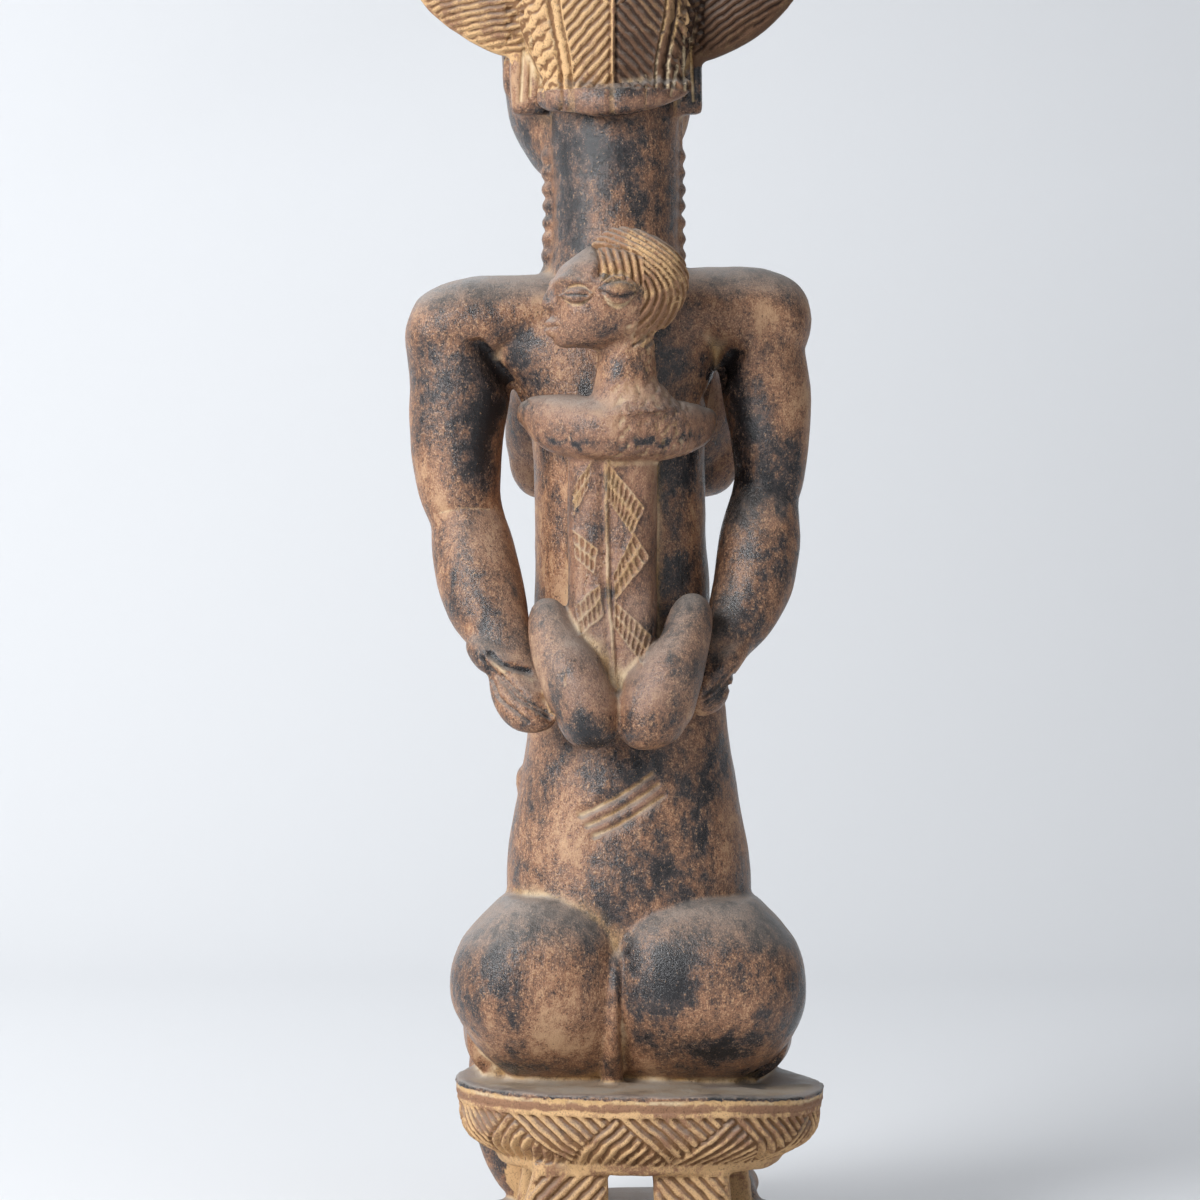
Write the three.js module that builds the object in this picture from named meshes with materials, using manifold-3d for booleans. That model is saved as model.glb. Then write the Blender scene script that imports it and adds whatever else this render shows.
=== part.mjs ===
// A seated mother with a child on her back, carved with her stool from one log of wood.
// She faces -Y. Her back, with the child on it, faces +Y, and her left side is +X.
// The origin is the middle of the stool's foot plate, on its underside. All sizes are millimetres.

import * as THREE from 'three';
import { mergeVertices } from 'three/addons/utils/BufferGeometryUtils.js';
import Module from 'manifold-3d';

const wasm = await Module();
wasm.setup();

// Driving dimensions
const FOOT_PLATE_TOP = 24; // thickness of the plate that stool and feet stand on
const SEAT_TOP = 120; // height of the seat
const SEAT_RADIUS = 120; // half the seat's width
const SEAT_OVAL = 0.78; // depth of the seat from front to back, as a share of its width
const SEAT_TURN = -5; // degrees that the oval is turned by on its legs
const SEAT_UNDERSIDE = 66;
const STOOL_LEG_GROOVES = 2;
const BAND_TRIANGLES = 10; // hatched triangles standing on the seat's lower ring
const BAND_TURN = 22; // degrees from +Y to the foot of the first triangle
const BAND_HATCHES = 2; // grooves in each triangle
const TRESS_BEADS = 8; // notched beads in each plait on the neck
const HEAD_X = 27.5; // the head sits to her left, as the log grew
const COIFFURE_X = 25;
const WOOD = { color: 0x5c3d29, roughness: 0.55, metalness: 0 };

// Rows of numbers, met one after another by a uniform Catmull-Rom spline, at t from 0 to 1.
function between(rows, t) {
  const last = rows.length - 1;
  const place = Math.min(t, 1 - 1e-9) * last;
  const i = Math.floor(place);
  const f = place - i;
  const [a, b, c, d] = [-1, 0, 1, 2].map((k) => rows[Math.min(Math.max(i + k, 0), last)]);
  return b.map((_, k) => 0.5 * (2 * b[k] + (c[k] - a[k]) * f
    + (2 * a[k] - 5 * b[k] + 4 * c[k] - d[k]) * f * f
    + (3 * b[k] - a[k] - 3 * c[k] + d[k]) * f * f * f));
}

// How far a rounded end has opened, from 0 at the tip to 1 where it meets the full section.
function rounding(t, start, end) {
  const near = Math.min(start > 0 ? t / start : 1, end > 0 ? (1 - t) / end : 1, 1);
  return Math.sqrt(Math.max(0, 1 - (1 - near) ** 2));
}

// The manifold solid of a closed three.js geometry.
function solid(geometry) {
  const bare = new THREE.BufferGeometry();
  bare.setAttribute('position', geometry.getAttribute('position').clone());
  if (geometry.index) bare.setIndex(geometry.index);
  const merged = mergeVertices(bare, 1e-3);
  return new wasm.Manifold(new wasm.Mesh({
    numProp: 3,
    vertProperties: new Float32Array(merged.getAttribute('position').array),
    triVerts: new Uint32Array(merged.index.array),
  }));
}

// A body or limb: rows of [x, y, z, half width, half depth] along its middle line. Each section is a
// superellipse across that line, or a flat one if `level`, as wide along `side` and as deep across it
// as its row says.
function form(rows, options = {}) {
  const { side = [1, 0, 0], sides = 16, rings = 10, square = 2 } = options;
  const { start = 0.2, end = 0.2, level = false } = options;
  const geometry = new THREE.SphereGeometry(1, sides, rings);
  const position = geometry.getAttribute('position');
  const power = 2 / square;
  const signed = (value) => Math.sign(value) * Math.abs(value) ** power;
  const across = new THREE.Vector3(...side);
  const first = start * 0.15; // the rings next to the tips, so that few rings still round an end
  const last = 1 - end * 0.15;
  for (let i = 0; i < position.count; i++) {
    const ring = Math.floor(i / (sides + 1));
    const tip = ring === 0 || ring === rings;
    const t = tip ? ring / rings : THREE.MathUtils.lerp(first, last, (ring - 1) / (rings - 2));
    const turn = ((i % (sides + 1)) / sides) * 2 * Math.PI;
    const [x, y, z, width, depth] = between(rows, t);
    const ahead = between(rows, Math.min(t + 0.01, 1));
    const behind = between(rows, Math.max(t - 0.01, 0));
    const along = new THREE.Vector3(ahead[0] - behind[0], ahead[1] - behind[1], ahead[2] - behind[2]);
    if (level) along.set(0, 0, along.z);
    along.normalize();
    const wide = across.clone().addScaledVector(along, -across.dot(along)).normalize();
    const deep = wide.clone().cross(along);
    const open = tip ? 0 : rounding(t, start, end);
    const point = new THREE.Vector3(x, y, z)
      .addScaledVector(wide, signed(Math.cos(turn)) * width * open)
      .addScaledVector(deep, signed(Math.sin(turn)) * depth * open);
    position.setXYZ(i, point.x, point.y, point.z);
  }
  return solid(geometry);
}

// An ellipsoid, turned by `turn` degrees about X, Y and Z in that order.
function egg([x, y, z], [rx, ry, rz], { turn = [0, 0, 0], sides = 16, rings = 10 } = {}) {
  const geometry = new THREE.SphereGeometry(1, sides, rings);
  geometry.rotateX(Math.PI / 2);
  geometry.scale(rx, ry, rz);
  geometry.applyMatrix4(new THREE.Matrix4().makeRotationFromEuler(
    new THREE.Euler(...turn.map(THREE.MathUtils.degToRad), 'XYZ')));
  geometry.translate(x, y, z);
  return solid(geometry);
}

// A gouge stroke from one point on the wood to another: a stretched octahedron, pointed at both ends
// and keeled like a boat, with its keel turned into the wood, away from `outward`.
function stroke(from, to, outward, width, depth) {
  const a = new THREE.Vector3(...from);
  const b = new THREE.Vector3(...to);
  const along = b.clone().sub(a).normalize();
  const across = along.clone().cross(new THREE.Vector3(...outward)).normalize();
  const out = across.clone().cross(along);
  const geometry = new THREE.OctahedronGeometry(1);
  geometry.scale(width, a.distanceTo(b) / 2, depth);
  const position = geometry.getAttribute('position');
  for (let i = 0; i < position.count; i++) {
    if (Math.abs(position.getX(i)) > width / 2) position.setZ(i, depth);
    else if (position.getZ(i) > 0) position.setZ(i, 2 * depth);
  }
  geometry.applyMatrix4(new THREE.Matrix4().makeBasis(across, along, out));
  geometry.translate(...a.add(b).multiplyScalar(0.5).toArray());
  return solid(geometry);
}

// The depth, along Y, of the back of an upright form at a place x, z on it.
function backOf(rows, x, z, square = 2) {
  let low = 0;
  let high = 1;
  const rising = rows[rows.length - 1][2] > rows[0][2];
  for (let step = 0; step < 24; step++) {
    const middle = (low + high) / 2;
    if ((between(rows, middle)[2] < z) === rising) low = middle;
    else high = middle;
  }
  const [cx, cy, , width, depth] = between(rows, low);
  const aside = Math.min(Math.abs((x - cx) / width), 0.98);
  return cy + depth * (1 - aside ** square) ** (1 / square);
}

// Strokes laid end to end on the back of an upright form, between two places x, z.
function backStrokes(rows, from, to, { square = 2, width = 4.5, depth = 2.5, pieces = 1 } = {}) {
  const points = [];
  for (let i = 0; i <= pieces; i++) {
    const x = THREE.MathUtils.lerp(from[0], to[0], i / pieces);
    const z = THREE.MathUtils.lerp(from[1], to[1], i / pieces);
    points.push([x, backOf(rows, x, z, square), z]);
  }
  return points.slice(1).map((point, i) => {
    const middle = (points[i][0] + point[0]) / 2 - between(rows, 0.5)[0];
    return stroke(points[i], point, [middle / 60, 1, 0], width, depth);
  });
}

const added = [];
const carved = [];

// Foot plate: an oval slab under the stool and the mother's feet
const plate = new THREE.CylinderGeometry(1, 1, FOOT_PLATE_TOP, 20);
plate.rotateX(Math.PI / 2);
plate.scale(116, 126, 1);
plate.translate(6, -8, FOOT_PLATE_TOP / 2);
added.push(solid(plate));

// Seat: a bowl-shaped block turned by eye, with a lip and a roll above a hatched band
const LOWER_RING_RADIUS = 90;
const BAND_LOW = [LOWER_RING_RADIUS + 5, SEAT_UNDERSIDE + 8];
const BAND_HIGH = [SEAT_RADIUS - 3, SEAT_TOP - 18];
const seatProfile = [
  [0, SEAT_UNDERSIDE],
  [LOWER_RING_RADIUS, SEAT_UNDERSIDE],
  BAND_LOW,
  BAND_HIGH,
  [SEAT_RADIUS - 1, SEAT_TOP - 10],
  [SEAT_RADIUS - 4, SEAT_TOP - 6],
  [SEAT_RADIUS, SEAT_TOP - 4],
  [SEAT_RADIUS - 1, SEAT_TOP],
  [0, SEAT_TOP],
].map(([radius, height]) => new THREE.Vector2(radius, height));
const seat = new THREE.LatheGeometry(seatProfile, 33);
seat.rotateX(Math.PI / 2);
seat.scale(1, SEAT_OVAL, 1);
seat.rotateZ(THREE.MathUtils.degToRad(SEAT_TURN));
added.push(solid(seat));

// A place on the seat's band: `around` in degrees from +Y towards +X, `up` from 0 at the lower ring to 1
function onBand(around, up) {
  const angle = THREE.MathUtils.degToRad(around);
  const radius = THREE.MathUtils.lerp(BAND_LOW[0], BAND_HIGH[0], up);
  const place = new THREE.Vector3(radius * Math.sin(angle), radius * Math.cos(angle) * SEAT_OVAL, 0);
  place.applyAxisAngle(new THREE.Vector3(0, 0, 1), THREE.MathUtils.degToRad(SEAT_TURN));
  return [place.x, place.y, THREE.MathUtils.lerp(BAND_LOW[1], BAND_HIGH[1], up)];
}

function bandStroke(fromAround, fromUp, toAround, toUp) {
  const [x, y] = onBand((fromAround + toAround) / 2, 0.5);
  const outward = [x, y, -0.6 * Math.hypot(x, y)];
  return stroke(onBand(fromAround, fromUp), onBand(toAround, toUp), outward, 6, 4);
}

// Hatched triangles round the band: grooves lie along one side of each, so neighbours slant opposite ways
const trianglePitch = 360 / BAND_TRIANGLES;
for (let n = 0; n < BAND_TRIANGLES; n++) {
  const foot = BAND_TURN + n * trianglePitch;
  for (let h = 0; h < BAND_HATCHES; h++) {
    const share = h / BAND_HATCHES;
    const peak = foot + trianglePitch * 0.5;
    const next = foot + trianglePitch;
    carved.push(bandStroke(foot + trianglePitch * share, 0, peak + (trianglePitch * share) / 2, 1 - share));
    carved.push(bandStroke(peak + trianglePitch * share, 1, next + (trianglePitch * share) / 2, share));
  }
}

// Stool legs: four stout posts that spread at the foot, hatched on the side that faces out
const stoolLegs = [
  { x: 46, y: 46, width: 24, depth: 19, foot: 52, footWidth: 30 },
  { x: -31, y: 48, width: 24, depth: 19, foot: -33, footWidth: 26 },
  { x: -46, y: -46, width: 24, depth: 18, foot: -48, footWidth: 26 },
  { x: 52, y: -46, width: 25, depth: 18, foot: 55, footWidth: 28 },
];
for (const leg of stoolLegs) {
  const post = new THREE.BoxGeometry(2, 2 * leg.depth, SEAT_UNDERSIDE - FOOT_PLATE_TOP + 16);
  const corner = post.getAttribute('position');
  for (let i = 0; i < corner.count; i++) {
    const [x, width] = corner.getZ(i) < 0 ? [leg.foot, leg.footWidth] : [leg.x, leg.width];
    corner.setX(i, x + corner.getX(i) * width);
  }
  post.translate(0, leg.y, (SEAT_UNDERSIDE + FOOT_PLATE_TOP) / 2);
  added.push(solid(post));
  const face = leg.y + Math.sign(leg.y) * leg.depth;
  for (let g = 0; g < STOOL_LEG_GROOVES; g++) {
    const x = leg.x - leg.width * 0.85 + (g * leg.width * 1.3) / STOOL_LEG_GROOVES;
    carved.push(stroke([x, face, SEAT_UNDERSIDE], [x + leg.width * 0.75, face, FOOT_PLATE_TOP],
      [0, leg.y, 0], 6, 3));
  }
}

// Mother's body: seated, long and straight, wider at the hips
const torso = [
  [8, -12, 112, 60, 28],
  [8, -8, 150, 66, 50],
  [7, -6, 190, 74, 62],
  [8, -9, 235, 79, 69],
  [9, -11, 270, 78, 68],
  [9, -10, 304, 71.5, 64],
  [9, -8, 342, 66, 57],
  [11, -6, 385, 61, 52],
  [13, -4, 430, 57, 49],
  [15, -4, 530, 56, 47],
  [18, -5, 575, 66, 46],
  [22, -5, 602, 82, 43],
  [22, -6, 626, 84, 34],
  [22, -6, 641, 50, 18],
];
added.push(form(torso, { sides: 14, rings: 13, square: 2.2, start: 0, end: 0 }));

// Shoulder girdle, rounded over each arm
added.push(form([
  [154, -4, 600, 13, 16], [141, -4, 601, 24, 30], [114, -4, 609, 30, 37], [78, -6, 614, 27, 38],
  [20, -6, 617, 26, 38], [-38, -6, 619, 27, 38], [-72, -4, 616, 30, 37], [-96, -4, 608, 26, 30],
  [-110, -4, 605, 14, 16],
], { side: [0, 0, 1], sides: 10, rings: 10, start: 0.08, end: 0.08 }));

// Arms, pinched at the elbow and bent back, with flat hands that close under the child's thighs
const leftArm = [
  [122, -4, 614, 27, 28], [121, -4, 598, 32, 33], [118, -3, 572, 33, 32], [119.5, -2, 550, 31.5, 30],
  [120.5, -1, 530, 30, 28], [119, 1, 509, 28, 26], [117, 3, 496, 25.8, 24], [113.4, 5, 483, 23.7, 22.5],
  [110.5, 8, 469, 26, 25], [108, 12, 455, 27.5, 26.5], [104, 18, 440, 27.5, 26], [97, 29, 421, 25, 22],
  [88, 40, 403, 19, 17], [82, 50, 388, 17.5, 14], [78, 58, 374, 19, 13], [70, 66, 361, 18, 12],
  [56, 72, 354, 13, 9],
];
const rightArm = [
  [-77, -4, 616, 26, 28], [-76.5, -4, 594, 28.5, 33], [-79.7, -3, 574, 29, 31], [-82.2, -2, 552, 28, 29],
  [-83.2, -1, 530, 25.3, 28], [-83, 1, 512, 22.5, 25], [-80.2, 3, 498, 21.5, 22.5], [-78.2, 6, 484, 24.5, 24],
  [-76.2, 9, 470, 26.6, 26], [-72, 16, 443, 26, 26], [-64, 27, 421, 22.5, 21], [-55, 36, 405, 16.5, 17],
  [-47.5, 42, 392, 14.5, 16], [-43, 46, 380, 14, 15], [-39, 48, 368, 13.5, 13], [-33, 48, 358, 9, 9],
];
for (const limb of [leftArm, rightArm]) {
  added.push(form(limb, { sides: 8, rings: 16, start: 0, end: 0.1 }));
}
for (const spread of [-9, -2, 5]) {
  const left = [[92 + spread, 64, 378 + spread], [60 + spread * 0.7, 84, 356 + spread]];
  const right = [[-60 + spread * 0.5, 48, 388 - spread], [-42 + spread * 0.4, 64, 368 - spread]];
  carved.push(stroke(...left, [0.4, 1, 0], 4, 3));
  carved.push(stroke(...right, [-0.6, 1, 0], 4, 3));
}

// Breasts, full and low on the chest, and the navel
added.push(form([[50, -28, 590, 20, 20], [56, -56, 560, 31, 30], [60, -80, 530, 30, 30],
  [62, -100, 508, 17, 17]],
  { sides: 7, rings: 4, start: 0.2, end: 0.35 }));
added.push(form([[-18, -28, 590, 20, 20], [-27, -56, 560, 32, 30], [-32, -80, 530, 31, 30],
  [-35, -100, 508, 17, 17]],
  { sides: 7, rings: 4, start: 0.2, end: 0.35 }));
for (const [x, half] of [[57, 31.5], [-34, 33]]) {
  added.push(form([[x, -80, 495, half, 27], [x, -80, 532, half, 27], [x, -80, 569, half, 27]],
    { sides: 9, rings: 5, square: 2.5, start: 0.5, end: 0.5 }));
}
added.push(egg([10, -76, 296], [9, 10, 9], { sides: 6, rings: 4 }));

// Buttocks, two full lobes whose tops slope down to the middle, curving in below to the seat, and the
// strip of wood between them
const leftButtock = [
  [48, 16, 116, 31, 5], [50.5, 16, 121, 34.5, 13], [55, 16, 130, 40, 30], [59, 16, 140, 45, 43],
  [63, 16, 152, 50.5, 54], [66.5, 16, 170, 56, 65], [66.5, 16, 190, 57, 66], [64, 16, 208, 54, 63],
  [62, 16, 220, 47, 58], [62.5, 16, 230, 37, 51], [66, 16, 237, 26, 42], [70, 16, 240, 16, 34],
];
const rightButtock = [
  [-20, 16, 116, 37, 5], [-23.5, 16, 121, 41.5, 13], [-30.5, 16, 130, 49.5, 30], [-35, 16, 140, 55, 43],
  [-38, 16, 152, 60, 54], [-39.5, 16, 170, 65.5, 65], [-39.5, 16, 190, 65.5, 66], [-38, 16, 208, 62.5, 63],
  [-36, 16, 220, 56, 58], [-36, 16, 230, 46, 51], [-41, 16, 237, 34, 42], [-47, 16, 240, 22, 34],
];
for (const buttock of [leftButtock, rightButtock]) {
  added.push(form(buttock, { sides: 12, rings: 11, square: 2.7, start: 0, end: 0, level: true }));
}
added.push(form([[17, 60, 206, 2.5, 4], [18, 66, 180, 3, 5], [19, 56, 150, 4.5, 7], [19.5, 34, 116, 7, 8]],
  { sides: 6, rings: 5, square: 3, start: 0.1, end: 0 }));

// Thighs, shins and feet
const leftThigh = [[68, 8, 152, 47, 36], [76, -34, 150, 42, 36], [82, -84, 141, 35, 33],
  [84, -118, 130, 31, 30]];
const rightThigh = [[-46, 8, 152, 51, 36], [-57, -34, 150, 43, 36], [-64, -84, 141, 35, 33],
  [-66, -118, 130, 31, 30]];
for (const thigh of [leftThigh, rightThigh]) {
  added.push(form(thigh, { sides: 10, rings: 6, square: 2.6, start: 0, end: 0.4 }));
}
const leftShin = [
  [85, -98, 146, 25, 23], [87, -100, 112, 29, 26], [87, -98, 84, 27, 26], [84, -94, 62, 25, 23],
  [80, -91, 46, 21, 20], [72, -89, 31, 18, 19], [68, -88, 20, 19, 21],
];
const rightShin = [
  [-65, -98, 146, 24, 22], [-65, -102, 112, 27, 25], [-58, -100, 82, 25, 24], [-54, -94, 58, 20, 20],
  [-55, -90, 40, 20, 20], [-58, -88, 20, 23, 23],
];
for (const shin of [leftShin, rightShin]) added.push(form(shin, { sides: 9, rings: 7, start: 0, end: 0 }));
for (const x of [68, -56]) {
  added.push(form([[x, -70, 31, 19, 16], [x, -88, 34, 21, 19], [x - 1, -108, 31, 24, 15],
    [x - 2, -133, 27, 23, 11]],
    { sides: 8, rings: 5, start: 0.2, end: 0.12 }));
  for (const toe of [-6, 5]) carved.push(stroke([x + toe * 1.4, -138, 30], [x + toe, -108, 46],
    [0, -0.4, 1], 4, 3));
}

// Neck, with a beaded plait down each side
const neck = [[17, -6, 622, 48, 43], [17, -6, 662, 41, 41], [17, -6, 710, 41, 41], [19, -8, 790, 42, 42]];
added.push(form(neck, { sides: 14, rings: 5, start: 0, end: 0 }));
const beadPitch = 10.7;
for (const x of [57, -20]) {
  const waists = [];
  for (let n = 0; n <= 2 * TRESS_BEADS; n++) {
    const full = n % 2 === 1;
    waists.push(new THREE.Vector2(full ? 8.5 : 4, 638 + (n * beadPitch) / 2));
  }
  const plait = new THREE.LatheGeometry(
    [new THREE.Vector2(0, 634), ...waists, new THREE.Vector2(8, 752), new THREE.Vector2(0, 752)], 5);
  plait.rotateX(Math.PI / 2);
  plait.translate(x, -12, 0);
  added.push(solid(plait));
}

// Mother's head: broad jaw, high forehead
const skull = [
  [HEAD_X, -58, 697, 20, 20], [HEAD_X, -54, 714, 42, 38], [HEAD_X, -50, 733, 54.5, 46],
  [HEAD_X, -48, 750, 60, 51],
  [HEAD_X, -46, 786, 64.5, 57], [HEAD_X, -42, 826, 61, 60], [HEAD_X, -38, 862, 50, 54],
  [HEAD_X, -36, 884, 28, 34],
];
added.push(form(skull, { sides: 12, rings: 8, square: 2.2, start: 0.1, end: 0.15 }));

// Face: a long nose, lidded almond eyes, a small mouth and chin, and flat ears
added.push(form([[HEAD_X, -97, 824, 7, 7], [HEAD_X, -104, 800, 8, 9], [HEAD_X, -109, 780, 10, 12],
  [HEAD_X, -110, 768, 14, 11]],
  { sides: 8, rings: 5, start: 0.1, end: 0.2 }));
for (const sign of [1, -1]) {
  added.push(egg([HEAD_X + sign * 27, -93, 799],
    [16, 8, 8], { turn: [0, 0, sign * 20], sides: 8, rings: 4 }));
  carved.push(stroke([HEAD_X + sign * 13, -101, 798], [HEAD_X + sign * 42, -95, 798], [0, -1, 0], 5, 3));
  added.push(egg([HEAD_X + sign * 58, -34, 776], [6, 12, 18], { sides: 8, rings: 4 }));
}
added.push(egg([HEAD_X, -97, 742], [19, 11, 10], { sides: 8, rings: 4 }));
carved.push(stroke([HEAD_X - 19, -106, 742], [HEAD_X + 19, -106, 742], [0, -1, 0], 4, 3));
added.push(egg([HEAD_X, -84, 714], [20, 14, 12], { sides: 8, rings: 4 }));

// Coiffure: a cap, square flaps behind the ears, a crest over the head that falls to a shield on the
// nape with a lip under it, and two ribbed side lobes
added.push(egg([COIFFURE_X, -26, 826], [67, 66, 64], { sides: 12, rings: 7 }));
for (const x of [72.5, -27]) {
  added.push(form([[x, -8, 745.5, 12, 13], [x, -6, 770, 12.5, 15], [x, -2, 794, 12, 14]],
    { sides: 8, rings: 4, square: 5, start: 0, end: 0.1 }));
}
const crest = [
  [COIFFURE_X, -96, 838, 13, 14], [COIFFURE_X, -84, 874, 17, 20], [COIFFURE_X, -52, 902, 20, 28],
  [COIFFURE_X, -14, 906, 23, 28], [COIFFURE_X, 16, 886, 26, 22],
];
added.push(form(crest, { sides: 8, rings: 8, square: 2.6, start: 0.12, end: 0.2 }));
const SHIELD_SQUARE = 3.2;
const shield = [
  [15, 23, 752, 40, 22], [18, 22, 772, 47, 25], [22, 17, 804, 57, 31],
  [24, 8, 842, 59, 36], [25, -4, 878, 46, 38], [25, -14, 900, 30, 34],
];
added.push(form(shield, { sides: 14, rings: 6, square: SHIELD_SQUARE, start: 0.04, end: 0.12 }));
added.push(form([
  [62, 22, 756, 8, 8], [46, 41, 752, 10.5, 9.5], [27, 49, 748.5, 10, 10], [9.6, 50, 749.5, 10, 10],
  [-8, 44, 753.5, 9, 9.5], [-21, 34, 757.5, 6.5, 8.5], [-29, 22, 763, 4, 6],
], { side: [0, 0, 1], sides: 8, rings: 7, square: 3, start: 0.05, end: 0.1 }));

// Herringbone plaiting on the shield, between two upright cords on each side
const SPINE_X = 19;
const HALF_HERRINGBONE = 33;
carved.push(...backStrokes(shield, [SPINE_X, 764], [SPINE_X + 3, 872], { square: SHIELD_SQUARE, pieces: 2 }));
const RIB_PITCH = 14;
for (const sign of [1, -1]) {
  for (let n = 0; n < 5; n++) {
    const top = 788 + n * RIB_PITCH;
    const drop = 22;
    carved.push(...backStrokes(shield, [SPINE_X + sign, top], [SPINE_X + sign * HALF_HERRINGBONE, top - drop],
      { square: SHIELD_SQUARE, width: 6 }));
  }
  carved.push(...backStrokes(shield, [SPINE_X + sign * HALF_HERRINGBONE * 0.94, 764],
    [SPINE_X + 3 + sign * HALF_HERRINGBONE * 1.12, 864], { square: SHIELD_SQUARE, pieces: 2 }));
}

// Side lobes: leaf shapes that rise outward, fluted from tip to tip
const LOBE = { aside: 69, height: 834, depth: 4, long: 71, short: 46.5, thick: 18, rise: 34 };
const FLUTES = 12; // round the whole lobe, half of them behind
for (const sign of [1, -1]) {
  const lobe = new THREE.SphereGeometry(1, 2 * FLUTES, 6);
  const position = lobe.getAttribute('position');
  for (let i = 0; i < position.count; i++) {
    const column = i % (2 * FLUTES + 1);
    const depth = column % 2 === 0 ? 1 : 0.86;
    position.setXYZ(i, position.getX(i) * depth, position.getY(i), position.getZ(i) * depth);
  }
  lobe.scale(LOBE.short, LOBE.long, LOBE.thick);
  lobe.rotateX(Math.PI / 2);
  lobe.rotateY(sign * THREE.MathUtils.degToRad(90 - LOBE.rise));
  lobe.translate(COIFFURE_X + sign * LOBE.aside, LOBE.depth, LOBE.height);
  added.push(solid(lobe));
}

// Child on her back: straight body, broad shoulders, head turned to the mother's left
const childBody = [
  [18, 52, 352, 24, 28], [19, 54, 385, 27.5, 29], [19.5, 55, 450, 28, 28], [19.5, 56, 510, 28.3, 28],
  [19.5, 58, 545, 27, 28],
];
const CHILD_SQUARE = 3.2;
added.push(form(childBody, { sides: 16, rings: 5, square: CHILD_SQUARE, start: 0, end: 0 }));
added.push(form([
  [76, 36, 550, 8, 9], [67, 46, 549.5, 12, 14], [53, 60, 544, 18.5, 20], [38, 70, 540.5, 20, 24],
  [17, 77, 538.5, 19.5, 26], [-10, 70, 539, 19, 23], [-27, 56, 541, 15.5, 18], [-37, 44, 545, 10, 12],
  [-44, 36, 546, 5, 6],
], { side: [0, 0, 1], sides: 9, rings: 10, square: 2.7, start: 0.06, end: 0.06 }));
added.push(form([
  [9.4, 78, 552, 34, 28], [9.8, 79, 558, 26, 23], [11.1, 80, 566, 21, 19.5], [11.2, 81, 574, 19.4, 18.5],
  [11.1, 82, 589, 18, 18], [12.5, 84, 612, 20, 21],
], { sides: 9, rings: 6, start: 0, end: 0 }));

// Child's thighs, from two round buttocks up and out to the mother's hands
const childThighs = [
  [[33.5, 82, 338.6, 17.5, 21], [33.5, 83, 346, 18.5, 23], [34, 84, 355, 19.5, 25],
  [37.5, 84, 368, 21.5, 25.5],
    [45.5, 82, 385, 20.5, 24], [54, 76, 400, 17.5, 20], [59, 68, 415, 14, 17], [62, 60, 431, 11, 13]],
  [[-3, 82, 338.6, 18, 21], [-3, 83, 346, 20, 23], [-4.5, 84, 355, 21.5, 25], [-8.5, 84, 368, 24.5, 25.5],
    [-17, 82, 385, 21, 24], [-24.5, 76, 400, 16.5, 20], [-29, 70, 415, 15, 17], [-34, 60, 434, 11, 12]],
];
for (const thigh of childThighs) added.push(form(thigh, { sides: 9, rings: 8, start: 0.25, end: 0.12 }));

// Child's head, in its own axes: u along the face, v towards the viewer behind, w up
const CHILD_HEAD = { centre: [15, 84, 627], turn: 13 };
const headTurn = THREE.MathUtils.degToRad(CHILD_HEAD.turn);
function onChild(u, v, w) {
  return [
    CHILD_HEAD.centre[0] + u * Math.cos(headTurn) - v * Math.sin(headTurn),
    CHILD_HEAD.centre[1] + u * Math.sin(headTurn) + v * Math.cos(headTurn),
    CHILD_HEAD.centre[2] + w,
  ];
}
const childTurn = [0, 0, CHILD_HEAD.turn];
const childAhead = [Math.cos(headTurn), Math.sin(headTurn), 0];
const childSide = [-Math.sin(headTurn), Math.cos(headTurn), 0];
const childFace = [ // w, u, half length, half width
  [-38, 17, 14, 9], [-35, 17.5, 20.5, 16], [-31, 14.5, 27.5, 21.5], [-25, 7.5, 35.5, 27],
  [-17, 3.5, 39.5, 30.5],
  [-9, 1, 42, 32.5], [-2, -0.3, 43.3, 33.5], [6, -1.3, 43.3, 34], [14, -2.8, 40, 33], [21, -6, 33.5, 29.5],
  [28, -7, 24.5, 23], [33, -5, 18, 17], [36.5, -3, 12, 12], [39, -1, 8, 8],
].map(([w, u, length, width]) => [...onChild(u, 0, w), length, width]);
added.push(form(childFace, { side: childAhead, sides: 9, rings: 8, start: 0.05, end: 0.08, level: true }));
added.push(form([[...onChild(39, 0, 5), 4, 4], [...onChild(44, 0, -6), 5, 5],
  [...onChild(46.5, 0, -14), 7.5, 5.5]],
  { side: childSide, sides: 6, rings: 4, end: 0.3 }));
added.push(egg(onChild(42, 0, -25), [6, 9.5, 5], { turn: childTurn, sides: 8, rings: 4 }));
added.push(egg(onChild(33, 0, -32), [9, 12, 5.5], { turn: childTurn, sides: 8, rings: 4 }));
for (const sign of [1, -1]) {
  const eyeTurn = [0, 0, CHILD_HEAD.turn - sign * 38];
  added.push(egg(onChild(32, sign * 19.5, -5.5), [10.5, 7, 5.2], { turn: eyeTurn, sides: 8, rings: 4 }));
  added.push(egg(onChild(8.5, sign * 29.5, -2), [11.5, 8.5, 7.5], { turn: childTurn, sides: 8, rings: 4 }));
}

// Its hair, in long strands that sweep round the ears from brow to nape
const STRANDS = 5; // from each ear up to the crown
const hair = new THREE.SphereGeometry(1, 10, 2 * STRANDS);
const hairPosition = hair.getAttribute('position');
for (let i = 0; i < hairPosition.count; i++) {
  const height = hairPosition.getY(i);
  const ring = Math.round((Math.acos(height) / Math.PI) * 2 * STRANDS);
  const depth = ring % 2 === 0 ? 1 : 0.93;
  hairPosition.setXYZ(i, hairPosition.getX(i) * depth, height * depth, hairPosition.getZ(i) * depth);
}
hair.scale(35.5, 34.5, 35.5);
hair.rotateZ(headTurn);
hair.translate(...onChild(-8.5, 0, 3.5));
added.push(solid(hair));

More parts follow.
